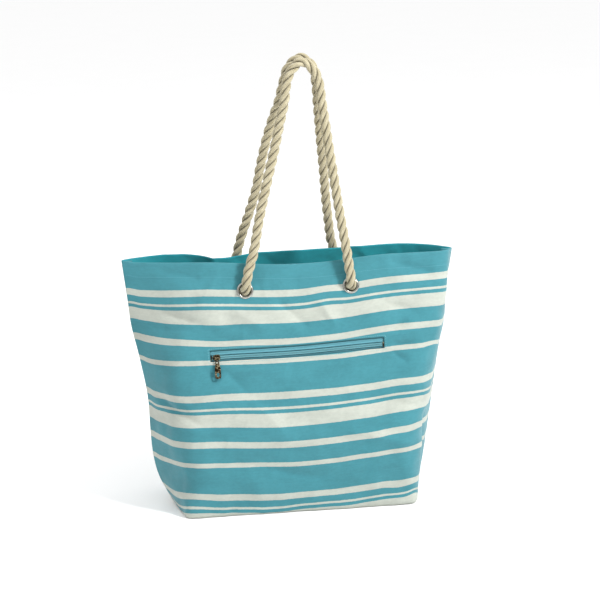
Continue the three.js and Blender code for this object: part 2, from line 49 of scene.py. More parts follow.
# ---------- the bag's shape: the same driving values as the CAD part ----------
CANVAS = 1.2
BAG_HEIGHT = 382.0
BASE_ROUND = 6.0
HEM_WIDTH = 25.0
LEVELS = np.array([0, 52, 119, 213, 307, 382], float)
LEFT_SEAM = [-183, -208, -219, -228, -243, -253]
RIGHT_SEAM = [195, 206, 216, 229, 241, 253]
FRONT = {
    "side": -1,
    "left_fold": [-176, -163, -176, -182, -161, -143],
    "right_fold": [180, 180, 183, 204, 230, 238],
    "depth": [82, 86, 86, 70, 51, 28],
    "rim_sag": 9,
    "rim_dip": {"at": 0.62, "width": 0.06, "drop": 1},
    "lift_reach": 0.022,
    "stripe_slant": 5.6,
    "stripe_bow": 2.4,
}
BACK = {
    "side": 1,
    "left_fold": [-176, -170, -178, -186, -196, -204],
    "right_fold": [182, 176, 184, 194, 204, 212],
    "depth": [82, 86, 86, 74, 60, 46],
    "rim_sag": 3,
    "rim_dip": {"at": 0.318, "width": 0.074, "drop": 9},
    "lift_reach": 0.075,
    "stripe_slant": -3.0,
    "stripe_bow": 1.5,
}
FOLD_BLEND = [14, 24, 34, 34, 34, 34]
RIM_SAG_WIDTH = 0.6
RIM_SAG_FADE = 4
CORNER_LIFT = 4.2
CORNER_LIFT_FADE = 14

ZIP_MIDDLE = 2.0
ZIP_HEIGHT = 247.0
ZIP_SLANT = 0.026
ZIP_BAND = (228.0, 278.0)
ZIP_LENGTH = 265.0
WINDOW_ABOVE = 11.0
WINDOW_BELOW = 6.0
ZIP_TRAVEL_START = -123.0
# The sewn zip hangs a little lower in its middle than a straight line between its ends.
ZIP_SAG = 2.2

EYELET_HEIGHT = 339.0
EYELET_BAND = (322.0, 355.0)
EYELET_HOLE = 8.4
EYELET_RIM = 12.6
EYELET_PLACES = {"left": -73.0, "right": 88.0}
# Where the rope starts to move as a loop: this far out of its eyelet and above it.
HINGE_STAND_OFF = 10.0
HINGE_RISE = 8.0

ROPE_RADIUS = 7.5
FRONT_ROPE = [
    (-67.5, -47, 371), (-59.5, -43, 396), (-48.5, -36, 447), (-34, -28, 503), (-23, -22.5, 543),
    (-13, -17, 584), (-4.5, -12, 617), (-1, -9.5, 641), (6.5, -8.2, 661), (23.5, -8, 674.5),
    (41, -8.2, 661), (48.5, -9.5, 641), (51.5, -12, 615), (56, -17, 580), (61, -22.5, 540),
    (66.5, -28.5, 498), (74, -36.5, 442), (80.5, -42.5, 400), (84, -47, 372),
]
BACK_ROPE = [
    (-72, 57, 374), (-66, 53, 399), (-53, 44.5, 441), (-43, 37, 477), (-36, 31, 515), (-28, 25, 552),
    (-18, 19, 587), (-9, 13, 614), (-2, 9.5, 643), (5.5, 8.2, 665), (23.5, 8, 678.5), (41.5, 8.2, 665),
    (47, 9.5, 643), (49.5, 13, 613), (52.5, 19, 582), (56.5, 25.5, 542), (60.5, 32, 507), (64.5, 40, 465),
    (70, 48.5, 422), (75, 54, 389), (81.5, 58, 370),
]

# ---------- stripes, in millimetres of cloth below the rim ----------
FIRST_STRIPE = 39.5
STRIPE_WIDTHS = [10, 11, 3.5, 5.5, 20, 22, 10, 22.5, 7.5, 43.5]

# ---------- colours, as sRGB bytes ----------
TEAL = (67, 138, 149)
CREAM = (192, 195, 184)
TAPE_TEAL = (88, 154, 167)
TEAL_THREAD = (120, 184, 194)
HEM_THREAD = (84, 156, 168)
# The coil sewing thread's dark teal: painted shadow in the lines beside the coil.
COIL_SHADOW_TEAL = (20, 78, 86)
HEM_TEAL = (38, 158, 170)
BINDING_TEAL = (40, 120, 130)
# The zip window lip's dark teal: partly the welt's own darker edge, partly painted shade along the window's
# edges.
LIP_SHADE_TEAL = (18, 84, 92)
LINING = (214, 212, 203)
ROPE_LIGHT = (217, 210, 182)
ROPE_DARK = (136, 124, 92)
NICKEL = (172, 172, 166)
BRASS = (206, 190, 150)
BRASS_TARNISH = (46, 36, 24)

# ---------- camera ----------
CAMERA_AZIMUTH = math.radians(-9.04)
CAMERA_ELEVATION = math.radians(12.92)
CAMERA_ROLL = math.radians(-0.87)
CAMERA_TARGET = Vector((16.5, 0.0, 310.8)) * MM
CAMERA_DISTANCE = 3.2
CAMERA_LENS = 126.1


# ---------- small helpers ----------
def linear(colour):
    """An sRGB byte colour as linear RGBA."""
    share = np.array(colour, float) / 255
    value = np.where(share <= 0.04045, share / 12.92, ((share + 0.055) / 1.055) ** 2.4)
    return (*value, 1.0)


def darker(colour, share):
    """A linear colour times a share."""
    return tuple(c * share for c in colour[:3]) + (1.0,)


def grey(value):
    return (value, value, value, 1.0)


def smooth_step(low, high, value):
    t = np.clip((value - low) / (high - low), 0, 1)
    return t * t * (3 - 2 * t)


def unit(v):
    v = np.asarray(v, float)
    return v / np.maximum(np.linalg.norm(v, axis=-1, keepdims=True), 1e-9)


def run_along(line):
    """How far along a line each of its points is."""
    return np.concatenate([[0], np.cumsum(np.linalg.norm(np.diff(line, axis=0), axis=1))])


def points_at(line, run, places):
    """The points of a line at the given distances along it."""
    return np.stack([np.interp(places, run, line[:, k]) for k in range(line.shape[1])], -1)


def hermite(t, start, start_slope, end, end_slope):
    """A smooth curve between two values, with the slope given at each."""
    t2, t3 = t * t, t * t * t
    from_start = (2 * t3 - 3 * t2 + 1) * start + (t3 - 2 * t2 + t) * start_slope
    from_end = (3 * t2 - 2 * t3) * end + (t3 - t2) * end_slope
    return from_start + from_end


def mesh_object(name, points, faces, uv, material):
    """A smooth mesh from points in millimetres. uv holds one pair per point, in millimetres of cloth."""
    mesh = bpy.data.meshes.new(name)
    mesh.from_pydata((np.asarray(points, float) * MM).tolist(), [], [tuple(f) for f in faces])
    if uv is not None:
        layer = mesh.uv_layers.new(name="cloth")
        loops = np.zeros(len(mesh.loops), np.int32)
        mesh.loops.foreach_get("vertex_index", loops)
        layer.data.foreach_set("uv", (np.asarray(uv, float)[loops] * MM).astype(np.float32).ravel())
    mesh.validate()
    mesh.polygons.foreach_set("use_smooth", np.ones(len(mesh.polygons), bool))
    mesh.materials.append(material)
    obj = bpy.data.objects.new(name, mesh)
    bpy.context.scene.collection.objects.link(obj)
    return obj


def grid_faces(rows, columns, loop_columns=False, loop_rows=False):
    """Quads over a rows x columns grid of points."""
    r = np.arange(rows if loop_rows else rows - 1)
    c = np.arange(columns if loop_columns else columns - 1)
    r, c = np.meshgrid(r, c, indexing="ij")
    r2, c2 = (r + 1) % rows, (c + 1) % columns
    quads = np.stack([r * columns + c, r * columns + c2, r2 * columns + c2, r2 * columns + c], -1)
    return quads.reshape(-1, 4)


def joined(parts):
    """Several (points, faces, uv) shapes as one."""
    points, faces, uvs, start = [], [], [], 0
    for part_points, part_faces, part_uv in parts:
        points.append(np.asarray(part_points, float).reshape(-1, 3))
        faces += [[i + start for i in f] for f in np.asarray(part_faces, dtype=object).tolist()]
        uvs.append(np.asarray(part_uv, float).reshape(-1, 2))
        start += len(points[-1])
    return np.concatenate(points), faces, np.concatenate(uvs)


NOISE_WAVES = 4
NOISE_WAVELENGTHS = (0.7, 1.4)
NOISE_PEAK = 5
FRONT_SEED = 11
BACK_SEED = 23
POUCH_SEED = 71


def noise_field(seed, u, v, wavelength, octaves=3):
    """Smooth noise from sums of sine waves in random directions, about -1 to 1."""
    dice = np.random.default_rng(seed)
    total = np.zeros_like(np.asarray(u, float))
    size = 1.0
    for _ in range(octaves):
        for _ in range(NOISE_WAVES):
            angle = dice.uniform(0, math.tau)
            phase = dice.uniform(0, math.tau)
            turn = math.tau / (wavelength * dice.uniform(*NOISE_WAVELENGTHS))
            total += size * np.sin((u * math.cos(angle) + v * math.sin(angle)) * turn + phase)
        size /= 2
        wavelength /= 2
    return total / NOISE_PEAK


# ---------- material nodes ----------
class Nodes:
    """Short calls that build a node material."""

    def __init__(self, name):
        self.material = bpy.data.materials.new(name)
        self.material.use_nodes = True
        self.tree = self.material.node_tree
        self.shader = self.tree.nodes["Principled BSDF"]

    def add(self, kind, inputs=None, **settings):
        node = self.tree.nodes.new(kind)
        for key, value in settings.items():
            setattr(node, key, value)
        for key, value in (inputs or {}).items():
            self.put(node.inputs[key], value)
        return node

    def put(self, socket, value):
        if isinstance(value, bpy.types.NodeSocket):
            self.tree.links.new(value, socket)
        else:
            socket.default_value = value

    def cloth(self):
        """Metres along and across the piece's own cloth."""
        return self.add("ShaderNodeUVMap", uv_map="cloth").outputs[0]

    def place(self):
        return self.add("ShaderNodeTexCoord").outputs["Object"]

    def axes(self, vector):
        return self.add("ShaderNodeSeparateXYZ", {0: vector}).outputs

    def math(self, operation, a, b=0.0):
        return self.add("ShaderNodeMath", {0: a, 1: b}, operation=operation).outputs[0]

    def mix(self, share, a, b, blend="MIX"):
        """Two colours mixed; sockets 0, 6 and 7 are the mix node's factor and its two colours."""
        inputs = {0: share, 6: a, 7: b}
        return self.add("ShaderNodeMix", inputs, data_type="RGBA", blend_type=blend).outputs[2]

    def noise(self, vector, scale, detail, roughness=0.55):
        inputs = {"Vector": vector, "Scale": scale, "Detail": detail, "Roughness": roughness}
        return self.add("ShaderNodeTexNoise", inputs).outputs[0]

    def bands(self, value, stops):
        """Flat bands of colour, each from its stop to the next."""
        node = self.add("ShaderNodeValToRGB", {0: value})
        ramp = node.color_ramp
        ramp.interpolation = "CONSTANT"
        while len(ramp.elements) < len(stops):
            ramp.elements.new(1.0)
        for element, (place, colour) in zip(ramp.elements, stops):
            element.position = place
            element.color = colour
        return node.outputs[0]

    def spread(self, value, low, high, to_low=0.0, to_high=1.0):
        """The range low to high stretched onto another range."""
        inputs = {0: value, 1: low, 2: high, 3: to_low, 4: to_high}
        return self.add("ShaderNodeMapRange", inputs).outputs[0]

    def scaled(self, vector, x, y, z=1.0):
        return self.add("ShaderNodeMapping", {"Vector": vector, "Scale": (x, y, z)}).outputs[0]

    def bump(self, height, distance, strength):
        inputs = {"Height": height, "Distance": distance, "Strength": strength}
        return self.add("ShaderNodeBump", inputs).outputs[0]

    def finish(self, **sockets):
        """Sets the shader's own sockets and gives the material."""
        for key, value in sockets.items():
            self.put(self.shader.inputs[key.replace("_", " ")], value)
        return self.material


# Noise scales along and across a cloth, or along X, Y and Z, in turns per metre.
TEAL_STREAKS = (18, 900)
CREAM_STREAKS = (25, 700)
SLUBS = (60, 1400)
# Patches of soiling that also stand in for crease shading: painted shade.
SOIL_AND_SHADE_SCALE = (16, 34)
MOTTLE = (170, 300)
TAPE_FUZZ = (500, 900)
LINING_FUZZ = (120, 900)
ROPE_FIBRES = (90, 1500)
ROPE_HAIRS = (400, 4000)
THREAD_TWIST = (3000, 1200, 2200)
SCRATCHES = (300, 2600, 900)
# Thread spacings and bump depths, in metres.
CANVAS_WEAVE = 0.85 * MM
LINING_WEAVE = 0.5 * MM
HERRINGBONE = 2.4 * MM
CANVAS_BUMP = 0.12 * MM
TAPE_BUMP = 0.15 * MM
LINING_BUMP = 0.1 * MM
ROPE_BUMP = 0.35 * MM
THREAD_BUMP = 0.05 * MM
SCRATCH_BUMP = 0.03 * MM
STRIPE_WAVER = 0.9 * MM
STRIPE_WAVER_SCALE = 260.0
ROPE_BLOTCH_SCALE = 45.0
TARNISH_SCALE = 420.0
TARNISH_RANGE = (0.3, 0.52)
METAL_WEAR = 0.22


def woven_height(n, cloth, pitch):
    """A plain weave's height: warp and weft threads that pass over each other in turn."""
    along, across, _ = n.axes(cloth)
    weft_wave = n.math("SINE", n.math("MULTIPLY", along, math.pi / pitch))
    warp_wave = n.math("SINE", n.math("MULTIPLY", across, math.pi / pitch))
    over = n.spread(n.math("MULTIPLY", weft_wave, warp_wave), -0.4, 0.4)
    weft = n.math("MULTIPLY", n.math("ABSOLUTE", weft_wave), over)
    warp = n.math("MULTIPLY", n.math("ABSOLUTE", warp_wave), n.math("SUBTRACT", 1.0, over))
    return n.math("ADD", weft, warp)


def streaked(n, cloth, colour, scale, dark_share):
    """A dyed colour with fine streaks along the weft."""
    return n.mix(n.noise(n.scaled(cloth, *scale), 1.0, 2), colour, darker(colour, dark_share))


def cream_share(n, cloth):
    """1 on the cream stripes and 0 on the teal ones, with edges that waver by about a thread."""
    period = sum(STRIPE_WIDTHS)
    noise = n.math("SUBTRACT", n.noise(cloth, STRIPE_WAVER_SCALE, 2), 0.5)
    below = n.math("ADD", n.axes(cloth)[1], n.math("MULTIPLY", noise, STRIPE_WAVER))
    past_hem = n.math("SUBTRACT", below, FIRST_STRIPE * MM)
    turn = n.math("FRACT", n.math("DIVIDE", past_hem, period * MM))
    starts = np.cumsum([0.0, *STRIPE_WIDTHS[:-1]])
    stops = [(start / period, grey(1.0 - i % 2)) for i, start in enumerate(starts)]
    hem = n.math("LESS_THAN", below, FIRST_STRIPE * MM)
    return n.math("MULTIPLY", n.bands(turn, stops), n.math("SUBTRACT", 1.0, hem))


def canvas_material(name, striped, teal_colour=TEAL):
    """Stiff dyed canvas, with or without the cream stripes, a little worn. Its soiling patches also stand in
    for the shade of the creases as painted shade, and there is painted shade between the weave's threads.
    """
    n = Nodes(name)
    cloth = n.cloth()
    teal = linear(teal_colour)
    colour = streaked(n, cloth, teal, TEAL_STREAKS, 0.88)
    if striped:
        cream = streaked(n, cloth, linear(CREAM), CREAM_STREAKS, 0.92)
        colour = n.mix(cream_share(n, cloth), colour, cream)
    weave = woven_height(n, cloth, CANVAS_WEAVE)
    slub = n.noise(n.scaled(cloth, *SLUBS), 1.0, 3)
    soil_and_shade = n.noise(n.scaled(cloth, *SOIL_AND_SHADE_SCALE), 1.0, 5, 0.62)
    mottle = n.noise(n.scaled(cloth, *MOTTLE), 1.0, 3, 0.6)
    # Painted shade between the threads: where the weave is low, the colour is darker.
    colour = n.mix(n.spread(weave, 0.2, 1.0, 0.22, 0.0), colour, darker(teal, 0.62))
    # Random dark patches: partly soiling, partly painted shade standing in for the shading of the creases.
    colour = n.mix(n.spread(soil_and_shade, 0.4, 0.72, 0.0, 0.32), colour, grey(0.55), "MULTIPLY")
    colour = n.mix(n.spread(mottle, 0.35, 0.7, 0.0, 0.2), colour, grey(0.6), "MULTIPLY")
    height = n.math("ADD", weave, n.math("MULTIPLY", slub, 0.8))
    return n.finish(
        Base_Color=colour,
        Roughness=n.spread(slub, 0.2, 0.8, 0.86, 0.96),
        Normal=n.bump(height, CANVAS_BUMP, 0.55),
        Sheen_Weight=0.25,
        Sheen_Roughness=0.5,
        Specular_IOR_Level=0.25,
    )


def tape_material(name, colour, pitch=1.1):
    """A ribbed woven tape: fine ribs along its length with a slight sheen, and painted shade in the hollows
    between the ribs.
    """
    n = Nodes(name)
    cloth = n.cloth()
    along, across, _ = n.axes(cloth)
    lean = n.math("ADD", along, n.math("PINGPONG", across, HERRINGBONE))
    ribs = n.math("ABSOLUTE", n.math("SINE", n.math("MULTIPLY", lean, math.pi / (pitch * MM))))
    fuzz = n.noise(n.scaled(cloth, *TAPE_FUZZ), 1.0, 3)
    base = linear(colour)
    dark = darker(base, 0.6)
    # Painted shade: the hollows between the ribs are darker.
    shade = n.mix(n.spread(ribs, 0.0, 0.8), dark, base)
    shade = n.mix(n.math("MULTIPLY", fuzz, 0.3), shade, dark)
    height = n.math("ADD", ribs, n.math("MULTIPLY", fuzz, 0.5))
    return n.finish(
        Base_Color=shade,
        Roughness=n.spread(fuzz, 0.2, 0.8, 0.6, 0.8),
        Normal=n.bump(height, TAPE_BUMP, 0.7),
        Sheen_Weight=0.2,
        Sheen_Roughness=0.4,
    )


def lining_material(name):
    """Plain thin cotton, with painted shade between its threads."""
    n = Nodes(name)
    cloth = n.cloth()
    weave = woven_height(n, cloth, LINING_WEAVE)
    fuzz = n.noise(n.scaled(cloth, *LINING_FUZZ), 1.0, 3)
    base = linear(LINING)
    dark = darker(base, 0.72)
    # Painted shade between the threads: where the weave is low, the colour is darker.
    shade = n.mix(n.spread(weave, 0.1, 0.9), dark, base)
    shade = n.mix(n.math("MULTIPLY", fuzz, 0.3), shade, dark)
    return n.finish(
        Base_Color=shade,
        Roughness=n.spread(fuzz, 0.2, 0.8, 0.85, 0.95),
        Normal=n.bump(n.math("ADD", weave, fuzz), LINING_BUMP, 0.5),
        Sheen_Weight=0.2,
        Sheen_Roughness=0.5,
        Specular_IOR_Level=0.25,
    )


def rope_material(name):
    """Twisted cotton: fibres run along each strand, and the grooves between strands get painted shade."""
    n = Nodes(name)
    cloth = n.cloth()
    light, dark = linear(ROPE_LIGHT), linear(ROPE_DARK)
    fibre = n.noise(n.scaled(cloth, *ROPE_FIBRES), 1.0, 4, 0.65)
    blotch = n.noise(n.place(), ROPE_BLOTCH_SCALE, 3)
    groove = n.add("ShaderNodeAttribute", attribute_name="groove").outputs["Fac"]
    shade = n.mix(n.spread(fibre, 0.3, 0.75), dark, light)
    shade = n.mix(n.spread(blotch, 0.35, 0.75, 0.0, 0.25), shade, dark)
    # Painted shade: the deeper in a groove, the darker the rope.
    shade = n.mix(n.spread(groove, 0.0, 1.0, 0.0, 0.9), shade, darker(dark, 0.45))
    hairs = n.noise(n.scaled(cloth, *ROPE_HAIRS), 1.0, 2)
    height = n.math("ADD", fibre, n.math("MULTIPLY", hairs, 0.4))
    return n.finish(
        Base_Color=shade,
        Roughness=n.spread(fibre, 0.2, 0.8, 0.8, 0.95),
        Normal=n.bump(height, ROPE_BUMP, 0.8),
        Sheen_Weight=0.3,
        Sheen_Roughness=0.5,
        Specular_IOR_Level=0.3,
    )


def thread_material(name, colour):
    n = Nodes(name)
    twist = n.noise(n.scaled(n.place(), *THREAD_TWIST), 1.0, 2)
    base = linear(colour)
    return n.finish(
        Base_Color=n.mix(twist, darker(base, 0.7), base),
        Roughness=n.spread(twist, 0.2, 0.8, 0.5, 0.7),
        Normal=n.bump(twist, THREAD_BUMP, 0.6),
    )


def metal_material(name, colour, roughness, tarnish=None):
    """Plated sheet with fine scratches and, where tarnish is given, dull patches of that colour."""
    n = Nodes(name)
    place = n.place()
    scratches = n.noise(n.scaled(place, *SCRATCHES), 1.0, 5, 0.7)
    patches = n.noise(place, TARNISH_SCALE, 5, 0.6)
    shade = linear(colour)
    if tarnish:
        shade = n.mix(n.spread(patches, *TARNISH_RANGE), shade, linear(tarnish))
    wear = n.math("ADD", n.math("MULTIPLY", scratches, 0.6), n.math("MULTIPLY", patches, 0.4))
    return n.finish(
        Base_Color=shade,
        Metallic=1.0,
        Roughness=n.spread(wear, 0.3, 0.7, roughness, roughness + METAL_WEAR),
        Normal=n.bump(scratches, SCRATCH_BUMP, 0.25),
    )


# ---------- the bag's shape as arrays ----------
def level_value(values, height):
    """The same smooth curve through one value per level as in the CAD part."""
    values = np.asarray(values, float)
    height = np.asarray(height, float)
    last = len(LEVELS) - 1
    low = np.clip(np.searchsorted(LEVELS, height, side="left") - 1, 0, last - 1)
    after = np.minimum(np.arange(last + 1) + 1, last)
    before = np.maximum(np.arange(last + 1) - 1, 0)
    slopes = (values[after] - values[before]) / (LEVELS[after] - LEVELS[before])
    span = LEVELS[low + 1] - LEVELS[low]
    t = (height - LEVELS[low]) / span
    return hermite(t, values[low], span * slopes[low], values[low + 1], span * slopes[low + 1])


ALLOWANCE = 17.0
SEAM_ROLL = 1.8
SEAM_FULLNESS = 1.0
# How far each panel's edge and the end of its seam allowance stay off the middle of the bag.
SEAM_GAP = 0.15
ALLOWANCE_GAP = 0.4
# Where the soft sides have sunk in (positive) or stand out (negative): height, reach each way and how far.
LEFT_SINKS = [(165.0, 50.0, 4.4), (284.0, 28.0, -1.8)]
RIGHT_SINKS = [(272.0, 34.0, -4.2)]
# The folds move by this share of what the seam beside them sinks.
FOLD_SHARE = 0.5
CORNER_STEPS = 14
# A corner's round takes up at most this share of the side next to it.
CORNER_REACH = 0.48


def sink(sinks, height):
    return sum(far * math.exp(-((height - at) / reach) ** 2) for at, reach, far in sinks)


def seam_place(seam, sinks, inwards, height):
    """Where a side seam is along X at a height; inwards is 1 on the left and -1 on the right."""
    return float(level_value(seam, height)) + inwards * sink(sinks, height)


def fold_place(fold, sinks, inwards, height):
    return float(level_value(fold, height)) + FOLD_SHARE * inwards * sink(sinks, height)


def outline(panel, height):
    """One panel's section at a height as a fine line of points, rolled inwards at both seams."""
    side = panel["side"]
    depth = side * float(level_value(panel["depth"], height))
    left = seam_place(LEFT_SEAM, LEFT_SINKS, 1, height) - SEAM_FULLNESS
    right = seam_place(RIGHT_SEAM, RIGHT_SINKS, -1, height) + SEAM_FULLNESS
    line = np.array([
        (left + ALLOWANCE, side * ALLOWANCE_GAP),
        (left, side * SEAM_GAP),
        (fold_place(panel["left_fold"], LEFT_SINKS, 1, height), depth),
        (fold_place(panel["right_fold"], RIGHT_SINKS, -1, height), depth),
        (right, side * SEAM_GAP),
        (right - ALLOWANCE, side * ALLOWANCE_GAP),
    ])
    blend = float(level_value(FOLD_BLEND, height))
    reaches = [SEAM_ROLL, blend, blend, SEAM_ROLL]
    points = [line[0]]
    steps = np.linspace(0, 1, CORNER_STEPS)[:, None]
    for before, corner, after, reach in zip(line, line[1:], line[2:], reaches):
        reach_in = min(reach, CORNER_REACH * np.linalg.norm(before - corner))
        reach_out = min(reach, CORNER_REACH * np.linalg.norm(after - corner))
        enter = corner + unit(before - corner) * reach_in
        leave = corner + unit(after - corner) * reach_out
        points += list((1 - steps) ** 2 * enter + 2 * steps * (1 - steps) * corner + steps ** 2 * leave)
    points.append(line[-1])
    return np.array(points)


COLUMNS = 214
# How far the first columns are from each cut edge. The first FIN_STEPS of them are in the seam allowance.
EDGE_STEPS = np.array([0.0, 8.0, 14.0, 15.6, 16.4, 17.2, 18.0, 19.0])
FIN_STEPS = 3
TANGENT_REACH = 1.5


def section(panel, height):
    """The panel's cloth at one height: each column's XY, its inwards direction, place across and share."""
    line = outline(panel, height)
    run = run_along(line)
    total = run[-1]
    middle = np.linspace(EDGE_STEPS[-1], total - EDGE_STEPS[-1], COLUMNS - 2 * (len(EDGE_STEPS) - 1))
    places = np.concatenate([EDGE_STEPS[:-1], middle, (total - EDGE_STEPS[:-1])[::-1]])
    before = points_at(line, run, np.clip(places - TANGENT_REACH, 0, total))
    after = points_at(line, run, np.clip(places + TANGENT_REACH, 0, total))
    along = unit(after - before)
    inwards = panel["side"] * np.stack([along[:, 1], -along[:, 0]], -1)
    share = np.clip((places - ALLOWANCE) / (total - 2 * ALLOWANCE), 0, 1)
    return points_at(line, run, places), inwards, places - total / 2, share


def rim_rise(panel, share, height):
    """How far the sag, dent and lifted corner of the rim move a point up. It fades out below the rim."""
    across = np.minimum(1, np.abs(2 * share - 1) / RIM_SAG_WIDTH)
    sag = panel["rim_sag"] * np.cos(across * math.pi / 2) ** 2
    dent = panel["rim_dip"]
    dip = dent["drop"] * np.exp(-(((share - dent["at"]) / dent["width"]) ** 2))
    lift = CORNER_LIFT * np.exp(-((share / panel["lift_reach"]) ** 2))
    share_up = height / BAG_HEIGHT
    return lift * share_up ** CORNER_LIFT_FADE - (sag + dip) * share_up ** RIM_SAG_FADE


def face_point(panel, x, height):
    """The point of a panel's face at a place along X. Its height is counted before the rim sags."""
    xy, _, _, share = section(panel, height)
    middle = slice(len(EDGE_STEPS), -len(EDGE_STEPS))
    y = np.interp(x, xy[middle, 0], xy[middle, 1])
    u = np.interp(x, xy[middle, 0], share[middle])
    return np.array([x, y, height + float(rim_rise(panel, u, height))])


def face_frame(panel, x, height, band):
    """A 4x4 matrix on the face of a panel: local X along the face, Y into the bag and Z up the face."""
    bottom, top = (face_point(panel, x, h) for h in band)
    tilt = math.atan2(top[1] - bottom[1], top[2] - bottom[2])
    share = (height - bottom[2]) / (top[2] - bottom[2])
    place = Matrix.Translation(Vector(bottom + (top - bottom) * share)) @ Matrix.Rotation(-tilt, 4, "X")
    if panel["side"] > 0:
        place = place @ Matrix.Rotation(math.pi, 4, "Z")
    return np.array(place)


def to_world(place, points):
    return np.asarray(points, float) @ place[:3, :3].T + place[:3, 3]


def to_local(place, points):
    return (np.asarray(points, float) - place[:3, 3]) @ place[:3, :3]


ZIP_TURN = np.array(Matrix.Rotation(-ZIP_SLANT, 4, "Y"))
ZIP_PLACE = face_frame(FRONT, ZIP_MIDDLE, ZIP_HEIGHT, ZIP_BAND) @ ZIP_TURN
EYELETS = {
    (end, side): face_frame(panel, x, EYELET_HEIGHT, EYELET_BAND)
    for end, panel in (("front", FRONT), ("back", BACK))
    for side, x in EYELET_PLACES.items()
}


# ---------- canvas panels ----------
HEM_GAP = 0.3
ROLL_RADIUS = CANVAS + HEM_GAP / 2
# Near the seams the rim's roll narrows to this share of the room there, but not below the least radius.
ROLL_SHARE = 0.42
ROLL_LEAST = 0.12
FIN_THICKNESS = 0.5
THICKNESS_STEPS = 10
# The half of the base: its seam along Y = 0, the raw edge turned up there and the rise next to it.
BASE_SEAM = (-158.0, 172.0)
BASE_SEAM_GAP = 0.4
BASE_FIN_HEIGHTS = (9.0, 1.6)
BASE_SEAM_LIFT = 0.8
BASE_SEAM_FADE = 8
# Rows of the cloth, from the raw edge under the base to the hem inside.
BASE_ROWS = 28
BASE_ROUND_ROWS = 6
WALL_ROWS = 149
ROLL_ROWS = 8
HEM_ROWS = 11
WALL_START = len(BASE_FIN_HEIGHTS) + BASE_ROWS + BASE_ROUND_ROWS
WALL_END = WALL_START + WALL_ROWS
WALL = slice(WALL_START, WALL_END)
RIM_ROW = WALL_END + ROLL_ROWS // 2 - 1
HEM_START = RIM_ROW + 2

# Soft creases: from and to in millimetres across and below the rim, width, depth (inwards is negative).
FRONT_CREASES = [
    ((-250, 62), (-128, 70), 18, 1.7),
    ((-250, 100), (-135, 102), 16, -1.5),
    ((-205, 14), (-150, 24), 9, -2.2),
    ((-150, 60), (-118, 18), 12, 1.8),
    ((205, 30), (150, 14), 10, -2.2),
    ((-210, 75), (-150, 95), 11, -2.6),
    ((-100, 72), (-60, 98), 12, 1.8),
    ((-30, 60), (10, 96), 11, -2.0),
    ((30, 62), (52, 96), 9, 2.0),
    ((120, 70), (180, 92), 12, -1.8),
    ((-148, 118), (-128, 180), 12, -2.6),
    ((-128, 150), (-60, 215), 14, -2.2),
    ((-110, 165), (-150, 205), 8, 1.6),
    ((136, 120), (160, 105), 6, -2.2),
    ((138, 140), (170, 138), 6, -2.0),
    ((140, 152), (162, 165), 5, -1.8),
    ((-235, 205), (-150, 245), 12, -2.4),
    ((-90, 185), (-20, 262), 16, 1.6),
    ((-100, 300), (30, 330), 18, -2.0),
    ((60, 255), (190, 300), 20, 2.2),
    ((100, 215), (175, 232), 12, -1.8),
    ((205, 250), (232, 330), 9, -2.4),
]
BACK_CREASES = [
    ((-112, -2), (-100, 60), 7, -2.2),
    ((-140, 20), (-60, 60), 16, 1.2),
    ((120, 10), (170, 70), 12, -1.6),
    ((-180, 200), (-90, 260), 16, -1.8),
    ((40, 180), (150, 240), 22, 1.5),
    ((-60, 300), (90, 330), 18, -1.4),
    ((185, 260), (215, 340), 10, -1.8),
]

# How rounded the top of a crease is, in millimetres, how fast its sides fall and how deep its ends are.
# CREASE_FADE_START is how far along its fade a crease begins.
CREASE_EDGE = 1.6
CREASE_STEEPNESS = 1.3
CREASE_ENDS = 0.35
CREASE_FADE_START = 0.1
CRUMPLE_EDGE = 0.01
# The cloth's relief in millimetres: how strong the placed creases are, then the height and wavelength of
# each swell and of each net of crumples.
CREASE_STRENGTH = 2.6
SWELLS = [(1.3, 150.0), (0.35, 48.0), (0.1, 15.0)]
CRUMPLES = [(3.2, 140.0), (1.3, 64.0)]


def crumple(seed, across, below, wavelength):
    """A net of sharp low ridges, as stiff canvas takes when it has been folded and crushed."""
    return 0.5 - np.sqrt(noise_field(seed, across, below, wavelength, 2) ** 2 + CRUMPLE_EDGE)


def crease_relief(creases, across, below):
    """The placed creases: soft folds along straight lines that fade towards their ends."""
    relief = np.zeros_like(across)
    for start, end, width, depth in creases:
        start, end = np.array(start, float), np.array(end, float)
        run = end - start
        share = ((across - start[0]) * run[0] + (below - start[1]) * run[1]) / (run @ run)
        held = np.clip(share, 0, 1)
        gap = np.hypot(across - start[0] - held * run[0], below - start[1] - held * run[1])
        faded = share * (1 - 2 * CREASE_FADE_START) + CREASE_FADE_START
        fade = np.sin(np.clip(faded, 0, 1) * math.pi)
        soft_gap = np.sqrt(gap ** 2 + CREASE_EDGE ** 2) - CREASE_EDGE
        strength = CREASE_ENDS + (1 - CREASE_ENDS) * fade
        relief += depth * np.exp(-CREASE_STEEPNESS * soft_gap / width) * strength
    return relief


def roll_radius(xy):
    """The radius of the rim's fold at each column: smaller where front and back come together."""
    return np.clip(ROLL_SHARE * np.abs(xy[:, 1]), ROLL_LEAST, ROLL_RADIUS)


def base_rows(panel):
    """Rows from the raw edge under the base, out along it and round its lower edge."""
    xy, inwards, across, _ = section(panel, 0.0)
    ring = xy + inwards * BASE_ROUND
    seam_y = np.full(len(ring), panel["side"] * BASE_SEAM_GAP)
    seam = np.column_stack([np.clip(ring[:, 0], *BASE_SEAM), seam_y])
    for height in BASE_FIN_HEIGHTS:
        yield seam, height, across, 0.0
    for share in np.linspace(0, 1, BASE_ROWS):
        lift = BASE_SEAM_LIFT * (1 - math.sin(min(share * BASE_SEAM_FADE, 1) * math.pi / 2))
        yield seam * (1 - share) + ring * share, lift, across, 0.0
    for turn in np.linspace(0, math.pi / 2, BASE_ROUND_ROWS + 1)[1:]:
        height = BASE_ROUND * (1 - math.cos(turn))
        xy, inwards, across, _ = section(panel, height)
        yield xy + inwards * BASE_ROUND * (1 - math.sin(turn)), height, across, math.sin(turn)


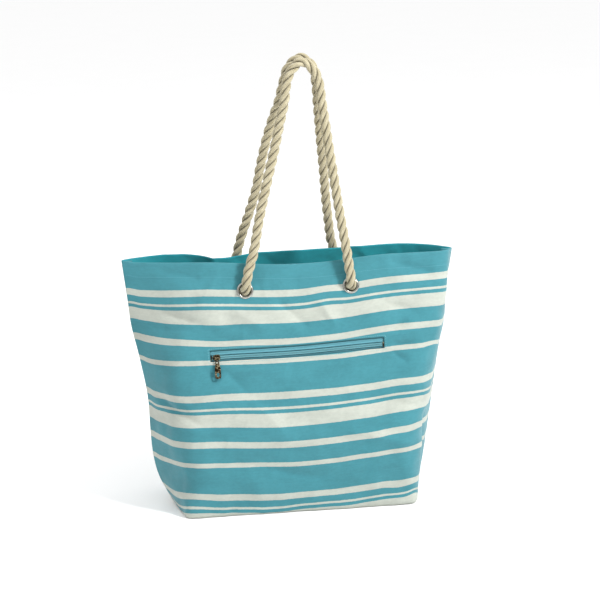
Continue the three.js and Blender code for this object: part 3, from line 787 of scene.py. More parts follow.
def wall_rows(panel):
    """Rows up the wall, over the rolled rim and down the hem inside."""
    wall_top = BAG_HEIGHT - ROLL_RADIUS
    for height in np.linspace(BASE_ROUND, wall_top, WALL_ROWS + 1)[1:]:
        xy, _, across, share = section(panel, height)
        top = height + rim_rise(panel, share, height)
        yield xy, top, across, 1.0
    rim_xy, rim_inwards, _, _ = section(panel, BAG_HEIGHT)
    roll = roll_radius(rim_xy)
    for turn in np.linspace(0, math.pi, ROLL_ROWS + 1)[1:]:
        inset = roll * (1 - math.cos(turn))
        yield rim_xy + rim_inwards * inset[:, None], top + roll * math.sin(turn), across, 1.0
    for height in np.linspace(wall_top, BAG_HEIGHT - HEM_WIDTH, HEM_ROWS + 1)[1:]:
        xy, inwards, across, share = section(panel, height)
        inset = 2 * roll_radius(xy)
        yield xy + inwards * inset[:, None], height + rim_rise(panel, share, height), across, 1.0


def panel_grid(panel):
    """The outer face of one panel's cloth: points, place across, how much relief each row may take."""
    rows, across, reliefs = [], [], []
    for xy, height, place_across, relief in (*base_rows(panel), *wall_rows(panel)):
        rows.append(np.column_stack([xy, np.broadcast_to(height, len(xy))]))
        across.append(place_across)
        reliefs.append(relief)
    grid = np.array(rows)
    grid[:, :, 1] = panel["side"] * np.maximum(panel["side"] * grid[:, :, 1], SEAM_GAP)
    return grid, np.array(across), np.array(reliefs)


def cloth_below(grid):
    """Millimetres of cloth from the rim fold down each column; the hem inside counts the other way."""
    steps = np.linalg.norm(np.diff(grid, axis=0), axis=2)
    run = np.concatenate([np.zeros((1, grid.shape[1])), np.cumsum(steps, axis=0)])
    return run[RIM_ROW] - run


# Where the sewn cloth has crept: place across and below the rim, reach each way, and how far down.
FRONT_CREEP = [
    (-130, 112, 42, 24, 4.5),
    (-25, 116, 90, 12, 2.5),
    (0, 165, 75, 62, -4.2),
    (-168, 200, 42, 38, 3.0),
    (-250, 98, 34, 32, -5.0),
    (-238, 268, 34, 38, -5.5),
    (-165, 366, 24, 20, -4.2),
    (15, 376, 55, 28, -4.5),
    (110, 250, 26, 90, 2.0),
    (145, 358, 16, 12, 3.5),
    (172, 374, 12, 16, -5.0),
    (206, 158, 16, 24, -5.0),
    (186, 272, 16, 36, -3.0),
    (44, 56, 24, 24, -3.0),
]
BACK_CREEP = [
    (-120, 90, 60, 40, 3.0),
    (90, 210, 80, 60, -3.5),
    (-60, 330, 60, 40, -3.0),
]
FRONT["creep"] = FRONT_CREEP
BACK["creep"] = BACK_CREEP
PANEL_HALF_WIDTH = 250


def cloth_down(panel, across, below):
    """Where a point is on the striped cloth, which is cut a little off its thread and has crept."""
    share = across / PANEL_HALF_WIDTH
    down = below + panel["stripe_slant"] * share + panel["stripe_bow"] * share * share
    for x, y, reach_x, reach_y, drop in panel["creep"]:
        down = down - drop * np.exp(-((across - x) / reach_x) ** 2 - ((below - y) / reach_y) ** 2)
    return down


def panel_eyelets(panel):
    """The places of the eyelets in one panel."""
    end = "front" if panel is FRONT else "back"
    return [EYELETS[(end, side)] for side in EYELET_PLACES]


def pressed(grid, place, near):
    """Moves the points of the face that are near a sewn-in part onto that part's own plane."""
    depth = to_local(place, grid)[..., 1]
    return grid - (near * depth)[..., None] * place[:3, 1]


# The flat ground round an eyelet and round the zip: where it starts to fade and where it ends, and how far
# off its plane cloth still counts as the face.
EYELET_FLAT = (15, 30)
EYELET_FACE = 6
EYELET_INSIDE = 2
ZIP_FLAT_MARGIN = (4, 5)
ZIP_FLAT_FADE = 16
ZIP_FACE = 8


def near_eyelet(local):
    far = np.hypot(local[..., 0], local[..., 2])
    return (1 - smooth_step(*EYELET_FLAT, far)) * (np.abs(local[..., 1]) < EYELET_FACE)


def near_zip(local):
    margin_x, margin_z = ZIP_FLAT_MARGIN
    x_far = np.maximum(np.abs(local[..., 0]) - ZIP_LENGTH / 2 - margin_x, 0)
    z_middle = (WINDOW_ABOVE - WINDOW_BELOW) / 2
    z_far = np.maximum(np.abs(local[..., 2] - z_middle) - (WINDOW_ABOVE + WINDOW_BELOW) / 2 - margin_z, 0)
    far = np.hypot(x_far, z_far)
    return (1 - smooth_step(0, ZIP_FLAT_FADE, far)) * (np.abs(local[..., 1]) < ZIP_FACE)


SEAM_FADE = (6, 40)


def shaped(panel, grid, across, reliefs, below, creases, seed):
    """Adds creases, swells and crumples, and lets the cloth lie flat round the eyelets and the zip."""
    normal = unit(np.cross(np.gradient(grid, axis=1), np.gradient(grid, axis=0))) * -panel["side"]
    normal[WALL_END:] = normal[WALL_END - 1]
    seam_fade = smooth_step(*SEAM_FADE, np.abs(grid[:, :, 1]))
    below = np.abs(below)
    relief = CREASE_STRENGTH * crease_relief(creases, across, below)
    for step, (height, wavelength) in enumerate(SWELLS):
        relief += height * noise_field(seed + step, across, below, wavelength)
    for step, (height, wavelength) in enumerate(CRUMPLES, len(SWELLS)):
        relief += height * crumple(seed + step, across, below, wavelength)
    for place in panel_eyelets(panel):
        local = to_local(place, grid)
        near = near_eyelet(local)
        relief *= 1 - near
        grid = pressed(grid, place, near * (local[..., 1] < EYELET_INSIDE))
    if panel is FRONT:
        near = near_zip(to_local(ZIP_PLACE, grid))
        relief *= 1 - near
        grid = pressed(grid, ZIP_PLACE, near)
    grid = grid + normal * (relief * seam_fade * reliefs[:, None])[..., None]
    grid[..., 2] = np.maximum(grid[..., 2], 0)
    return grid, normal


ZIP_HANG_LENGTH = ZIP_LENGTH - 9


def zip_drop(x):
    """How far the zip hangs below a straight line, at a place along it."""
    return ZIP_SAG * np.cos(np.clip(x / ZIP_HANG_LENGTH, -0.5, 0.5) * math.pi) ** 2


def bent(points):
    """Lets a straight strip of the zip follow the hang of the cloth."""
    points = np.array(points, float)
    points[..., 2] -= zip_drop(points[..., 0])
    return points


# Over how many rows or columns of the grid a shift onto the window's edge fades out.
SNAP_FADE = 9
SNAP_END_FADE = 12


def snapped_window(grid):
    """Moves the grid lines nearest the zip window onto its edges.

    Returns the grid, how far each point moved along and up the face, and which cells are open."""
    half_x = ZIP_LENGTH / 2
    local = to_local(ZIP_PLACE, grid)
    band = local[WALL]
    level = band[..., 2] + zip_drop(band[..., 0])
    middle = level[:, COLUMNS // 2]
    low, high = np.abs(middle + WINDOW_BELOW).argmin(), np.abs(middle - WINDOW_ABOVE).argmin()
    along = band[(low + high) // 2, :, 0]
    left, right = np.abs(along + half_x).argmin(), np.abs(along - half_x).argmin()
    rows, columns = np.arange(WALL_ROWS)[:, None], np.arange(COLUMNS)[None, :]
    beside = np.maximum(np.maximum(left - columns, columns - right), 0)
    held = np.clip(columns, left, right)[0]
    rise = np.zeros(band.shape[:2])
    for row, z, outside in ((low, -WINDOW_BELOW, low - rows), (high, WINDOW_ABOVE, rows - high)):
        inside = np.clip(1 + outside / (high - low), 0, 1)
        weight = np.where(outside >= 0, 1 - smooth_step(0, SNAP_FADE, outside), inside)
        rise += (z - level[row])[held] * weight * (1 - smooth_step(0, SNAP_END_FADE, beside))
    slide = np.zeros(band.shape[:2])
    past = np.maximum(np.maximum(low - rows, rows - high), 0)
    for column, x in ((left, -half_x), (right, half_x)):
        fade = 1 - smooth_step(0, SNAP_FADE, np.abs(columns - column))
        slide += (x - band[:, column, 0])[:, None] * fade * (1 - smooth_step(0, SNAP_FADE, past))
    moved = np.zeros((*grid.shape[:2], 2))
    moved[WALL] = np.stack([slide, rise], -1)
    local[..., [0, 2]] += moved
    open_cells = np.zeros((grid.shape[0] - 1, grid.shape[1] - 1), bool)
    open_cells[WALL_START + low:WALL_START + high, left:right] = True
    return to_world(ZIP_PLACE, local), moved, open_cells


HOLE_MARGIN = 1.6
HOLE_DEPTH = 3


def eyelet_cells(panel, grid):
    """Which cells of the grid an eyelet's hole takes out, in the face and in the hem behind it."""
    open_cells = np.zeros((grid.shape[0] - 1, grid.shape[1] - 1), bool)
    for place in panel_eyelets(panel):
        local = to_local(place, grid)
        far = np.hypot(local[..., 0], local[..., 2])
        near = np.abs(local[..., 1]) < HOLE_DEPTH
        centre = (far[:-1, :-1] + far[1:, :-1] + far[:-1, 1:] + far[1:, 1:]) / 4
        open_cells |= (centre < EYELET_HOLE + HOLE_MARGIN) & near[:-1, :-1] & near[1:, 1:]
    return open_cells


def thicken(obj, thickness, shares=None):
    """Gives a cloth sheet its thickness, inwards. shares holds how much of it each point has."""
    solid = obj.modifiers.new("thick", "SOLIDIFY")
    solid.thickness = thickness * MM
    solid.offset = -1.0
    if shares is not None:
        group = obj.vertex_groups.new(name="thickness")
        for step in range(THICKNESS_STEPS):
            low, high = step / THICKNESS_STEPS, (step + 1) / THICKNESS_STEPS
            chosen = np.nonzero((shares > low) & (shares <= high))[0]
            group.add(chosen.tolist(), high, "REPLACE")
        solid.vertex_group = group.name
    depsgraph = bpy.context.evaluated_depsgraph_get()
    final = bpy.data.meshes.new_from_object(obj.evaluated_get(depsgraph))
    obj.modifiers.clear()
    obj.data = final


def thickness_shares(panel, rows):
    """How much of the canvas's thickness each point of the grid has room for."""
    shares = roll_radius(section(panel, BAG_HEIGHT)[0]) / ROLL_RADIUS
    shares[:FIN_STEPS] = shares[-FIN_STEPS:] = FIN_THICKNESS
    return np.tile(shares, rows)


def canvas_panel(name, panel, creases, seed, material, hem_material):
    """One half of the bag as a single cloth shell, with its face's grid for the stitching."""
    grid, across, reliefs = panel_grid(panel)
    below = cloth_below(grid)
    grid, normal = shaped(panel, grid, across, reliefs, below, creases, seed)
    open_cells = np.zeros((grid.shape[0] - 1, grid.shape[1] - 1), bool)
    if panel is FRONT:
        grid, moved, open_cells = snapped_window(grid)
        across = across + moved[..., 0]
        below = below - moved[..., 1]
    open_cells |= eyelet_cells(panel, grid)
    kept = ~open_cells.ravel()
    faces = grid_faces(*grid.shape[:2])[kept]
    if panel is BACK:
        faces = faces[:, ::-1]
    uv = np.stack([across, cloth_down(panel, across, below)], -1).reshape(-1, 2)
    obj = mesh_object(name, grid.reshape(-1, 3), faces, uv, material)
    cell_rows = np.repeat(np.arange(grid.shape[0] - 1), grid.shape[1] - 1)[kept]
    obj.data.materials.append(hem_material)
    obj.data.polygons.foreach_set("material_index", (cell_rows >= HEM_START).astype(np.int32))
    thicken(obj, CANVAS, thickness_shares(panel, grid.shape[0]))
    for vertex in obj.data.vertices:
        vertex.co.z = max(vertex.co.z, 0)
    return obj, grid, normal, below


# ---------- twisted rope ----------
STRANDS = 3
ROPE_LAY = 48.0
ROPE_SIDES = 20
# Strands are a little fuller than round ones that would just touch.
STRAND_FULLNESS = 1.04
# Three equal circles in a circle: the rope's radius as a multiple of a strand's.
STRAND_PACKING = 1 + 2 / math.sqrt(3)
YARNS = 9
YARN_LAY = 31.0
YARN_HEIGHT = 0.045
# How deep in a groove a point is, from its distance to the rope's middle as a share of the radius. The rope's
# colour takes painted shade from it.
GROOVE_RANGE = (0.62, 0.88)
CURVE_STEPS = 24


def smooth_line(points, spacing):
    """A centripetal Catmull-Rom curve through the points, sampled evenly."""
    points = np.asarray(points, float)
    ends = [2 * points[0] - points[1], *points, 2 * points[-1] - points[-2]]
    fine = []
    for i in range(1, len(ends) - 2):
        p0, p1, p2, p3 = (np.asarray(ends[i + k]) for k in (-1, 0, 1, 2))
        t1 = np.linalg.norm(p1 - p0) ** 0.5
        t2 = t1 + np.linalg.norm(p2 - p1) ** 0.5
        t3 = t2 + np.linalg.norm(p3 - p2) ** 0.5
        t = np.linspace(t1, t2, CURVE_STEPS, endpoint=False)[:, None]
        a1 = (t1 - t) / t1 * p0 + t / t1 * p1
        a2 = (t2 - t) / (t2 - t1) * p1 + (t - t1) / (t2 - t1) * p2
        a3 = (t3 - t) / (t3 - t2) * p2 + (t - t2) / (t3 - t2) * p3
        b1 = (t2 - t) / t2 * a1 + t / t2 * a2
        b2 = (t3 - t) / (t3 - t1) * a2 + (t - t1) / (t3 - t1) * a3
        fine += list((t2 - t) / (t2 - t1) * b1 + (t - t1) / (t2 - t1) * b2)
    fine.append(points[-1])
    return resampled(np.array(fine), spacing)


def resampled(line, spacing):
    run = run_along(line)
    count = max(int(round(run[-1] / spacing)), 2)
    return points_at(line, run, np.linspace(0, run[-1], count + 1))


def carried_frames(line):
    """A pair of sideways directions at each point of a line that don't twist about it."""
    tangent = unit(np.gradient(line, axis=0))
    side = np.zeros_like(tangent)
    start = np.array([1.0, 0.0, 0.0])
    if abs(start @ tangent[0]) > 0.9:
        start = np.array([0.0, 0.0, 1.0])
    side[0] = unit(start - (start @ tangent[0]) * tangent[0])
    for i in range(1, len(line)):
        step = side[i - 1] - (side[i - 1] @ tangent[i]) * tangent[i]
        side[i] = step / np.linalg.norm(step)
    return side, np.cross(tangent, side)


def swept(line, radius, sides, lobes=None):
    """A tube along the line with closed ends. lobes(angle, distance) scales the radius."""
    side, other = carried_frames(line)
    run = run_along(line)
    angle = np.linspace(0, math.tau, sides, endpoint=False)
    size = np.broadcast_to(np.asarray(radius, float), (len(line),))[:, None]
    if lobes:
        size = size * lobes(angle[None, :], run[:, None])
    ring = np.cos(angle)[None, :, None] * side[:, None] + np.sin(angle)[None, :, None] * other[:, None]
    points = line[:, None] + ring * (size * np.ones_like(angle))[..., None]
    uv = np.stack(np.broadcast_arrays(run[:, None], (angle * np.mean(radius))[None, :]), -1)
    count = len(line) * sides
    faces = grid_faces(len(line), sides, loop_columns=True).tolist()
    points = np.concatenate([points.reshape(-1, 3), line[:1], line[-1:]])
    uv = np.concatenate([uv.reshape(-1, 2), [[0, 0], [run[-1], 0]]])
    last = (len(line) - 1) * sides
    for i in range(sides):
        j = (i + 1) % sides
        faces.append([count, j, i])
        faces.append([count + 1, last + i, last + j])
    return points, faces, uv


def yarn_ridges(strand):
    """A strand's section: its yarns stand out a little and wind round it."""
    def size(angle, distance):
        return 1 + YARN_HEIGHT * np.cos(YARNS * (angle - math.tau * distance / YARN_LAY) + strand)
    return size


def rope_strands(line, radius=ROPE_RADIUS, sides=ROPE_SIDES, lay=ROPE_LAY, squeeze=1.0, phase=0.0):
    """Three strands laid round the line, and how deep in a groove each of their points is."""
    strand_radius = radius / STRAND_PACKING
    side, other = carried_frames(line)
    run = run_along(line)
    squeeze = np.broadcast_to(squeeze, len(line))
    parts, grooves = [], []
    for strand in range(STRANDS):
        turn = math.tau * (run / lay + strand / STRANDS) + phase
        outwards = np.cos(turn)[:, None] * side + np.sin(turn)[:, None] * other
        centre = line + outwards * ((radius - strand_radius) * squeeze)[:, None]
        size = strand_radius * squeeze * STRAND_FULLNESS
        points, faces, uv = swept(centre, size, sides, yarn_ridges(strand))
        rings = points[:len(line) * sides].reshape(len(line), sides, 3)
        from_axis = np.linalg.norm(rings - line[:, None], axis=2) / (radius * squeeze[:, None])
        deep = 1 - smooth_step(*GROOVE_RANGE, from_axis)
        grooves.append(np.concatenate([deep.ravel(), [0.5, 0.5]]))
        parts.append((points, faces, uv))
    return parts, np.concatenate(grooves)


def rope_object(name, strands, grooves, material):
    points, faces, uv = joined(strands)
    obj = mesh_object(name, points, faces, uv, material)
    attribute = obj.data.attributes.new("groove", "FLOAT", "POINT")
    attribute.data.foreach_set("value", grooves.astype(np.float32))
    return obj


# Along an eyelet's own axis: where the rope's seen part starts inside, and where its bend starts.
ROPE_INSIDE = 3.5
ROPE_MOUTH = -1.0
BEND_PULL = 34
BEND_STEPS = 14
ROUTE_SPACING = 2.0
ROPE_SPACING = 1.25


def rope_bend(place, first, second):
    """From inside an eyelet, out of it and up into the first stretch of the loop."""
    t = np.linspace(0, 1, BEND_STEPS)[:, None]
    first, second = np.array(first, float), np.array(second, float)
    leave = unit(second - first) * BEND_PULL
    bend = hermite(t, to_world(place, (0, ROPE_MOUTH, 0)), -place[:3, 1] * BEND_PULL, first, leave)
    return np.concatenate([[to_world(place, (0, ROPE_INSIDE, 0))], bend])


def handle_line(end, route):
    """From inside one eyelet, out and up into the route, and down and in through the other eyelet."""
    left = rope_bend(EYELETS[(end, "left")], route[0], route[1])
    right = rope_bend(EYELETS[(end, "right")], route[-1], route[-2])
    middle = smooth_line([left[-1], *route[1:-1], right[-1]], ROUTE_SPACING)
    return resampled(np.concatenate([left[:-1], middle, right[::-1][1:]]), ROPE_SPACING)


def rope_handle(end, route, material):
    line = handle_line(end, route)
    strands, grooves = rope_strands(line)
    obj = rope_object(end + "_rope_loop", strands, grooves, material)
    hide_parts(end + "_rope_handle")
    return obj, line


# ---------- shared small shapes ----------
def turned(profile, sides=64):
    """A closed profile of [radius, distance into the bag] turned about the local Y axis."""
    profile = np.asarray(profile, float)
    angle = np.linspace(0, math.tau, sides, endpoint=False)
    radius, depth = profile[:, 0][:, None], profile[:, 1][:, None]
    points = np.stack(np.broadcast_arrays(radius * np.cos(angle), depth, radius * np.sin(angle)), -1)
    uv = np.stack(np.broadcast_arrays(angle[None, :] * radius.mean(), run_along(profile)[:, None]), -1)
    faces = grid_faces(len(profile), sides, loop_columns=True, loop_rows=True)
    return points.reshape(-1, 3), faces, uv.reshape(-1, 2)


def arc(centre, radius, start, end, steps):
    """Points on an arc, with angles in degrees."""
    angle = np.radians(np.linspace(start, end, steps))
    return [(centre[0] + radius * math.cos(a), centre[1] + radius * math.sin(a)) for a in angle]


def swept_ring(centre_line, across, radius, sides=10):
    """A closed wire loop; across is the direction square to the loop's plane."""
    count = len(centre_line)
    tangent = unit(np.roll(centre_line, -1, axis=0) - np.roll(centre_line, 1, axis=0))
    across = np.asarray(across, float)
    outwards = np.cross(tangent, across)
    angle = np.linspace(0, math.tau, sides, endpoint=False)
    ring = np.cos(angle)[None, :, None] * across + np.sin(angle)[None, :, None] * outwards[:, None]
    points = centre_line[:, None] + radius * ring
    run = np.arange(count)[:, None] * np.linalg.norm(centre_line[1] - centre_line[0])
    uv = np.stack(np.broadcast_arrays(run, (angle * radius)[None, :]), -1)
    return points.reshape(-1, 3), grid_faces(count, sides, True, True), uv.reshape(-1, 2)


def plate(outline_points, holes, thickness, bevel):
    """A flat plate with rounded edges in the local XZ plane, its thickness along Y."""
    curve = bpy.data.curves.new("outline", "CURVE")
    curve.dimensions = "2D"
    curve.fill_mode = "BOTH"
    curve.extrude = thickness / 2 - bevel
    curve.bevel_depth = bevel
    curve.bevel_resolution = 2
    curve.offset = -bevel
    for loop in (outline_points, *holes):
        spline = curve.splines.new("POLY")
        spline.points.add(len(loop) - 1)
        spline.use_cyclic_u = True
        for point, (x, z) in zip(spline.points, loop):
            point.co = (x, z, 0, 1)
    obj = bpy.data.objects.new("outline", curve)
    bpy.context.scene.collection.objects.link(obj)
    mesh = bpy.data.meshes.new_from_object(obj.evaluated_get(bpy.context.evaluated_depsgraph_get()))
    flat = np.array([v.co for v in mesh.vertices])
    faces = [list(f.vertices) for f in mesh.polygons]
    bpy.data.objects.remove(obj)
    points = np.stack([flat[:, 0], -flat[:, 2], flat[:, 1]], -1)
    return points, faces, flat[:, :2]


def mirrored_outline(right_side):
    """A closed outline from its right half, given from top to bottom."""
    return list(right_side) + [(-x, z) for x, z in reversed(right_side)]


def circle(x, z, radius, steps=20):
    angle = np.linspace(0, math.tau, steps, endpoint=False)
    return [(x + radius * math.cos(a), z + radius * math.sin(a)) for a in angle]


def soft_slab(x_range, z_range, front, back, steps):
    """A closed cloth slab: front and back give Y over x and z. Both meet round the edge."""
    columns, rows = steps
    x = np.linspace(*x_range, columns)
    z = np.linspace(*z_range, rows)
    z, x = np.meshgrid(z, x, indexing="ij")
    layers = [np.stack([x, side(x, z), z], -1).reshape(-1, 3) for side in (front, back)]
    count = rows * columns
    inner = grid_faces(rows, columns)
    rim = [r * columns for r in range(rows)]
    rim += [(rows - 1) * columns + c for c in range(1, columns)]
    rim += [r * columns + columns - 1 for r in range(rows - 2, -1, -1)]
    rim += list(range(columns - 2, 0, -1))
    edge = [[b, a, a + count, b + count] for a, b in zip(rim, rim[1:] + rim[:1])]
    faces = inner.tolist() + (inner[:, ::-1] + count).tolist() + [list(reversed(f)) for f in edge]
    uv = np.stack([x, z], -1).reshape(-1, 2)
    return np.concatenate(layers), faces, np.concatenate([uv, uv])


STITCH_STEPS = 7


def stitch_row(line, outward, pitch=3.4, length=2.5, radius=0.3, rise=0.28):
    """Separate sewing stitches that arch over the cloth along a line."""
    line = np.asarray(line, float)
    outward = np.broadcast_to(np.asarray(outward, float), line.shape)
    run = run_along(line)
    count = int(run[-1] / pitch)
    gap = run[-1] / max(count, 1)
    share = np.linspace(-1, 1, STITCH_STEPS)
    height = rise * (1 - share ** 4) - radius
    size = radius * np.sqrt(np.clip(1.02 - share ** 6, 0.02, 1))
    parts = []
    for i in range(count):
        places = i * gap + (gap - length) / 2 + np.linspace(0, length, STITCH_STEPS)
        middle = points_at(line, run, places) + points_at(outward, run, places) * height[:, None]
        parts.append(swept(middle, size, 6))
    return parts


def shifted(shape, offset):
    points, faces, uv = shape
    return points + offset, faces, uv


def placed(parts, place):
    return [(to_world(place, points), faces, uv) for points, faces, uv in parts]


def filed(obj, body, replaced=()):
    """Hides the CAD nodes that a finished piece stands for and puts the piece on its body."""
    if replaced:
        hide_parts(*replaced)
    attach(obj, body)
    return obj


def piece(name, parts, material, body, replaced=(), place=None):
    """One named piece from several shapes, riding on a CAD body."""
    if place is not None:
        parts = placed(parts, place)
    return filed(mesh_object(name, *joined(parts), material), body, replaced)


# ---------- zip: local X along it, Y into the bag, Z up the face ----------
TAPE_HALF_HEIGHT = 16.0
TAPE_GAP = 1.6
TAPE_END = 6
TAPE_FRONT = 2.5
TAPE_THICKNESS = 0.5
TAPE_STEPS = (130, 44)
TAPE_PUFF = 1.3
# The puff rises between these distances from the zip's middle, and falls this far from the window's edge.
TAPE_PUFF_RISE = (3.0, 4.2)
TAPE_PUFF_FALL = (2.6, 1.0)
TAPE_PUFF_LEAST = 0.1
# The tape's slight waves: height and length, along it and slantwise.
TAPE_WAVES = ((0.08, 17.0), (0.06, 7.0))
TAPE_FOLD = 6.6
TAPE_FOLD_WIDTH = 0.7
TAPE_FOLD_DEPTH = 0.9
COIL_PITCH = 1.3
COIL_INSET = 3.4
COIL_WIRE = 0.33
COIL_DEPTH = 1.1
# How far each turn of the coil reaches in depth and in height.
COIL_REACH = (0.62, 1.2)
COIL_OFFSET = 1.3
COIL_STEPS = 11
# The cord inside each coil row: its depth and its distance from the zip's middle.
CORD_PLACE = (1.15, 1.5)
CORD_RADIUS = 0.5
CORD_STEPS = 160
COIL_SEWING = 3.3
COIL_SEWING_DEPTH = 2.3
COIL_SEWING_STITCH = {"pitch": 2.0, "length": 1.95, "radius": 0.62, "rise": 0.55}
WELT_MARGIN = 8.0
WELT_END = 9
WELT_GAP = 0.4
WELT_THICKNESS = 0.6
LIP_RADIUS = 0.72
LIP_CORNER = 1.2
LIP_INSET = 0.1
# How far off the window's edge the stitches run.
WINDOW_STITCH = 2.4
STOP_INSET = 1.6
STOP_RADIUS = 0.85


def tape_front(x, z):
    """The tape's front face: it puffs up between the coil and the window's edge, with a ridge line in it."""
    edge = np.where(z > 0, WINDOW_ABOVE, WINDOW_BELOW)
    away = np.abs(z)
    fall_from, fall_to = TAPE_PUFF_FALL
    fall = smooth_step(edge - fall_from, edge - fall_to, away)
    puff = TAPE_PUFF * smooth_step(*TAPE_PUFF_RISE, away) * (1 - fall)
    groove = TAPE_FOLD_DEPTH * np.exp(-(((z - TAPE_FOLD) / TAPE_FOLD_WIDTH) ** 2))
    (along, along_length), (slant, slant_length) = TAPE_WAVES
    wave = along * np.sin(x / along_length) + slant * np.sin(x / slant_length + z)
    ends = 1 - smooth_step(ZIP_LENGTH / 2 - 4, ZIP_LENGTH / 2, np.abs(x))
    return TAPE_FRONT - (puff - groove * (puff > TAPE_PUFF_LEAST)) * ends + wave


def tape_back(x, z):
    return tape_front(x, z) + TAPE_THICKNESS


def zip_tape(side):
    half = ZIP_LENGTH / 2 + TAPE_END
    edges = sorted((side * TAPE_GAP, side * TAPE_HALF_HEIGHT))
    points, faces, uv = soft_slab((-half, half), edges, tape_front, tape_back, TAPE_STEPS)
    return bent(points), faces, uv


def zip_coil(side):
    """One row of the meshed coil: a monofilament wound along the tape's edge, and the cord it is sewn to."""
    half = ZIP_LENGTH / 2 - COIL_INSET
    turns = 2 * half / COIL_PITCH
    t = np.linspace(0, turns * math.tau, int(turns * COIL_STEPS))
    x = -half + COIL_PITCH * t / math.tau
    y = COIL_DEPTH + COIL_REACH[0] * np.cos(t)
    z = side * (COIL_OFFSET + COIL_REACH[1] * np.sin(t + (0 if side > 0 else math.pi)))
    coil = swept(bent(np.stack([x, y, z], -1)), COIL_WIRE, 6)
    x = np.linspace(-half, half, CORD_STEPS)
    cord = np.stack([x, np.full_like(x, CORD_PLACE[0]), np.full_like(x, side * CORD_PLACE[1])], -1)
    return [coil, swept(bent(cord), CORD_RADIUS, 8)]


def coil_stitches():
    """The sewing that holds each coil row to its tape. Its dark thread is painted shadow in the lines beside
    the coil.
    """
    half = ZIP_LENGTH / 2 - 4
    parts = []
    for z in (-COIL_SEWING, COIL_SEWING):
        ends = np.array([(-half, COIL_SEWING_DEPTH, z), (half, COIL_SEWING_DEPTH, z)])
        parts += stitch_row(bent(resampled(ends, 4.0)), (0, -1, 0), **COIL_SEWING_STITCH)
    return parts


def welt_front(x, z):
    return CANVAS + WELT_GAP + 0 * x


def welt_back(x, z):
    return welt_front(x, z) + WELT_THICKNESS


def zip_welt():
    """The window's inner frame: the canvas turned to the inside round the zip."""
    half = ZIP_LENGTH / 2
    end = half + WELT_END
    bands = [
        ((-end, end), (WINDOW_ABOVE, WINDOW_ABOVE + WELT_MARGIN), (90, 8)),
        ((-end, end), (-WINDOW_BELOW - WELT_MARGIN, -WINDOW_BELOW), (90, 8)),
        ((-end, -half), (-WINDOW_BELOW, WINDOW_ABOVE), (6, 10)),
        ((half, end), (-WINDOW_BELOW, WINDOW_ABOVE), (6, 10)),
    ]
    slabs = [soft_slab(x, z, welt_front, welt_back, steps) for x, z, steps in bands]
    return [(bent(points), faces, uv) for points, faces, uv in slabs]


def window_lip():
    """The rounded folded edge of the canvas round the zip window. Its dark colour is partly the edge's own
    and partly painted shade along the window.
    """
    half, high, low = ZIP_LENGTH / 2 - LIP_INSET, WINDOW_ABOVE - LIP_INSET, LIP_INSET - WINDOW_BELOW
    loop = []
    for x, z, start in ((half, high, 0), (-half, high, 90), (-half, low, 180), (half, low, 270)):
        centre = (x - math.copysign(LIP_CORNER, x), z - math.copysign(LIP_CORNER, z))
        loop += arc(centre, LIP_CORNER, start, start + 90, 6)
    loop.append(loop[0])
    line = bent(resampled(np.array([(x, LIP_RADIUS, z) for x, z in loop]), 2.0)[:-1])
    return [swept_ring(line, (0, 1, 0), LIP_RADIUS, 12)]


def zip_stop(x):
    """A staple clamped over both tape edges."""
    staple = [(0.9, -3.2), (0.35, -3.2), (0.1, -2.6), (0.1, 2.6), (0.35, 3.2), (0.9, 3.2)]
    return swept(smooth_line([(x, y, z) for y, z in staple], 0.4), STOP_RADIUS, 12)


SLIDER_LENGTH = 11.0
SLIDER_HALF = 4.4
# The slider's outline: place along half its length and share of its half width.
SLIDER_SHAPE = [
    (-1, 0.62), (-0.8, 0.78), (-0.4, 0.93), (0, 1.0), (0.45, 1.0), (0.8, 0.86), (0.96, 0.5), (1, 0.0),
]
# How deep the two plates are, and their thickness and bevel.
SLIDER_PLATES = (-0.7, 4.0)
SLIDER_PLATE = (1.0, 0.32)
# The side rails and the bail's bridge, as X and Y.
SLIDER_RAIL = [(-2.0, 0.5), (0, 0.7), (3.0, 0.7), (3.6, 0.5)]
SLIDER_RAIL_Z = 4.05
SLIDER_RAIL_RADIUS = 0.62
BAIL = [(-3.3, -0.9), (-3.4, -2.4), (-2.6, -4.0), (0, -4.35), (2.6, -4.0), (3.4, -2.4), (3.3, -0.9)]
BAIL_RADIUS = 0.55
BAIL_WIDTH = 1.6
BAIL_BAR_Y = -4.2


def slider_outline():
    upper = [(x * SLIDER_LENGTH / 2, SLIDER_HALF * z) for x, z in SLIDER_SHAPE]
    return upper + [(x, -z) for x, z in reversed(upper[:-1])]


def zip_slider():
    """Two plates joined by side rails, with a bail bridge on the front one."""
    parts = [shifted(plate(slider_outline(), [], *SLIDER_PLATE), (0, y, 0)) for y in SLIDER_PLATES]
    for z in (-SLIDER_RAIL_Z, SLIDER_RAIL_Z):
        rail = smooth_line([(x, y, z) for x, y in SLIDER_RAIL], 0.5)
        parts.append(swept(rail, SLIDER_RAIL_RADIUS, 10))
    points, faces, uv = swept(smooth_line([(x, y, 0) for x, y in BAIL], 0.35), BAIL_RADIUS, 12)
    points[:, 2] *= BAIL_WIDTH
    parts.append((points, faces, uv))
    return parts


LINK_STRETCH = 4.6
LINK_RADIUS = 1.75
LINK_WIRE = 0.45
LINK_STEPS = 48


def zip_link():
    """The long ring round the bail."""
    angle = np.linspace(0, math.tau, LINK_STEPS, endpoint=False)
    y = BAIL_BAR_Y + LINK_RADIUS * np.cos(angle)
    z = LINK_RADIUS * np.sin(angle)
    z = np.where(z < 0, z - LINK_STRETCH * smooth_step(0, 0.3, -z), z)
    loop = np.stack([0 * y, y, z], -1)
    line = resampled(np.concatenate([loop, loop[:1]]), 0.4)[:-1]
    return swept_ring(line, (1, 0, 0), LINK_WIRE, 10)


PULL_TOP = -4.6
PULL_LENGTH = 27.0
PULL_HALF = 4.6
PULL_CORNER = 3.4
PULL_PLATE = (1.1, 0.3)
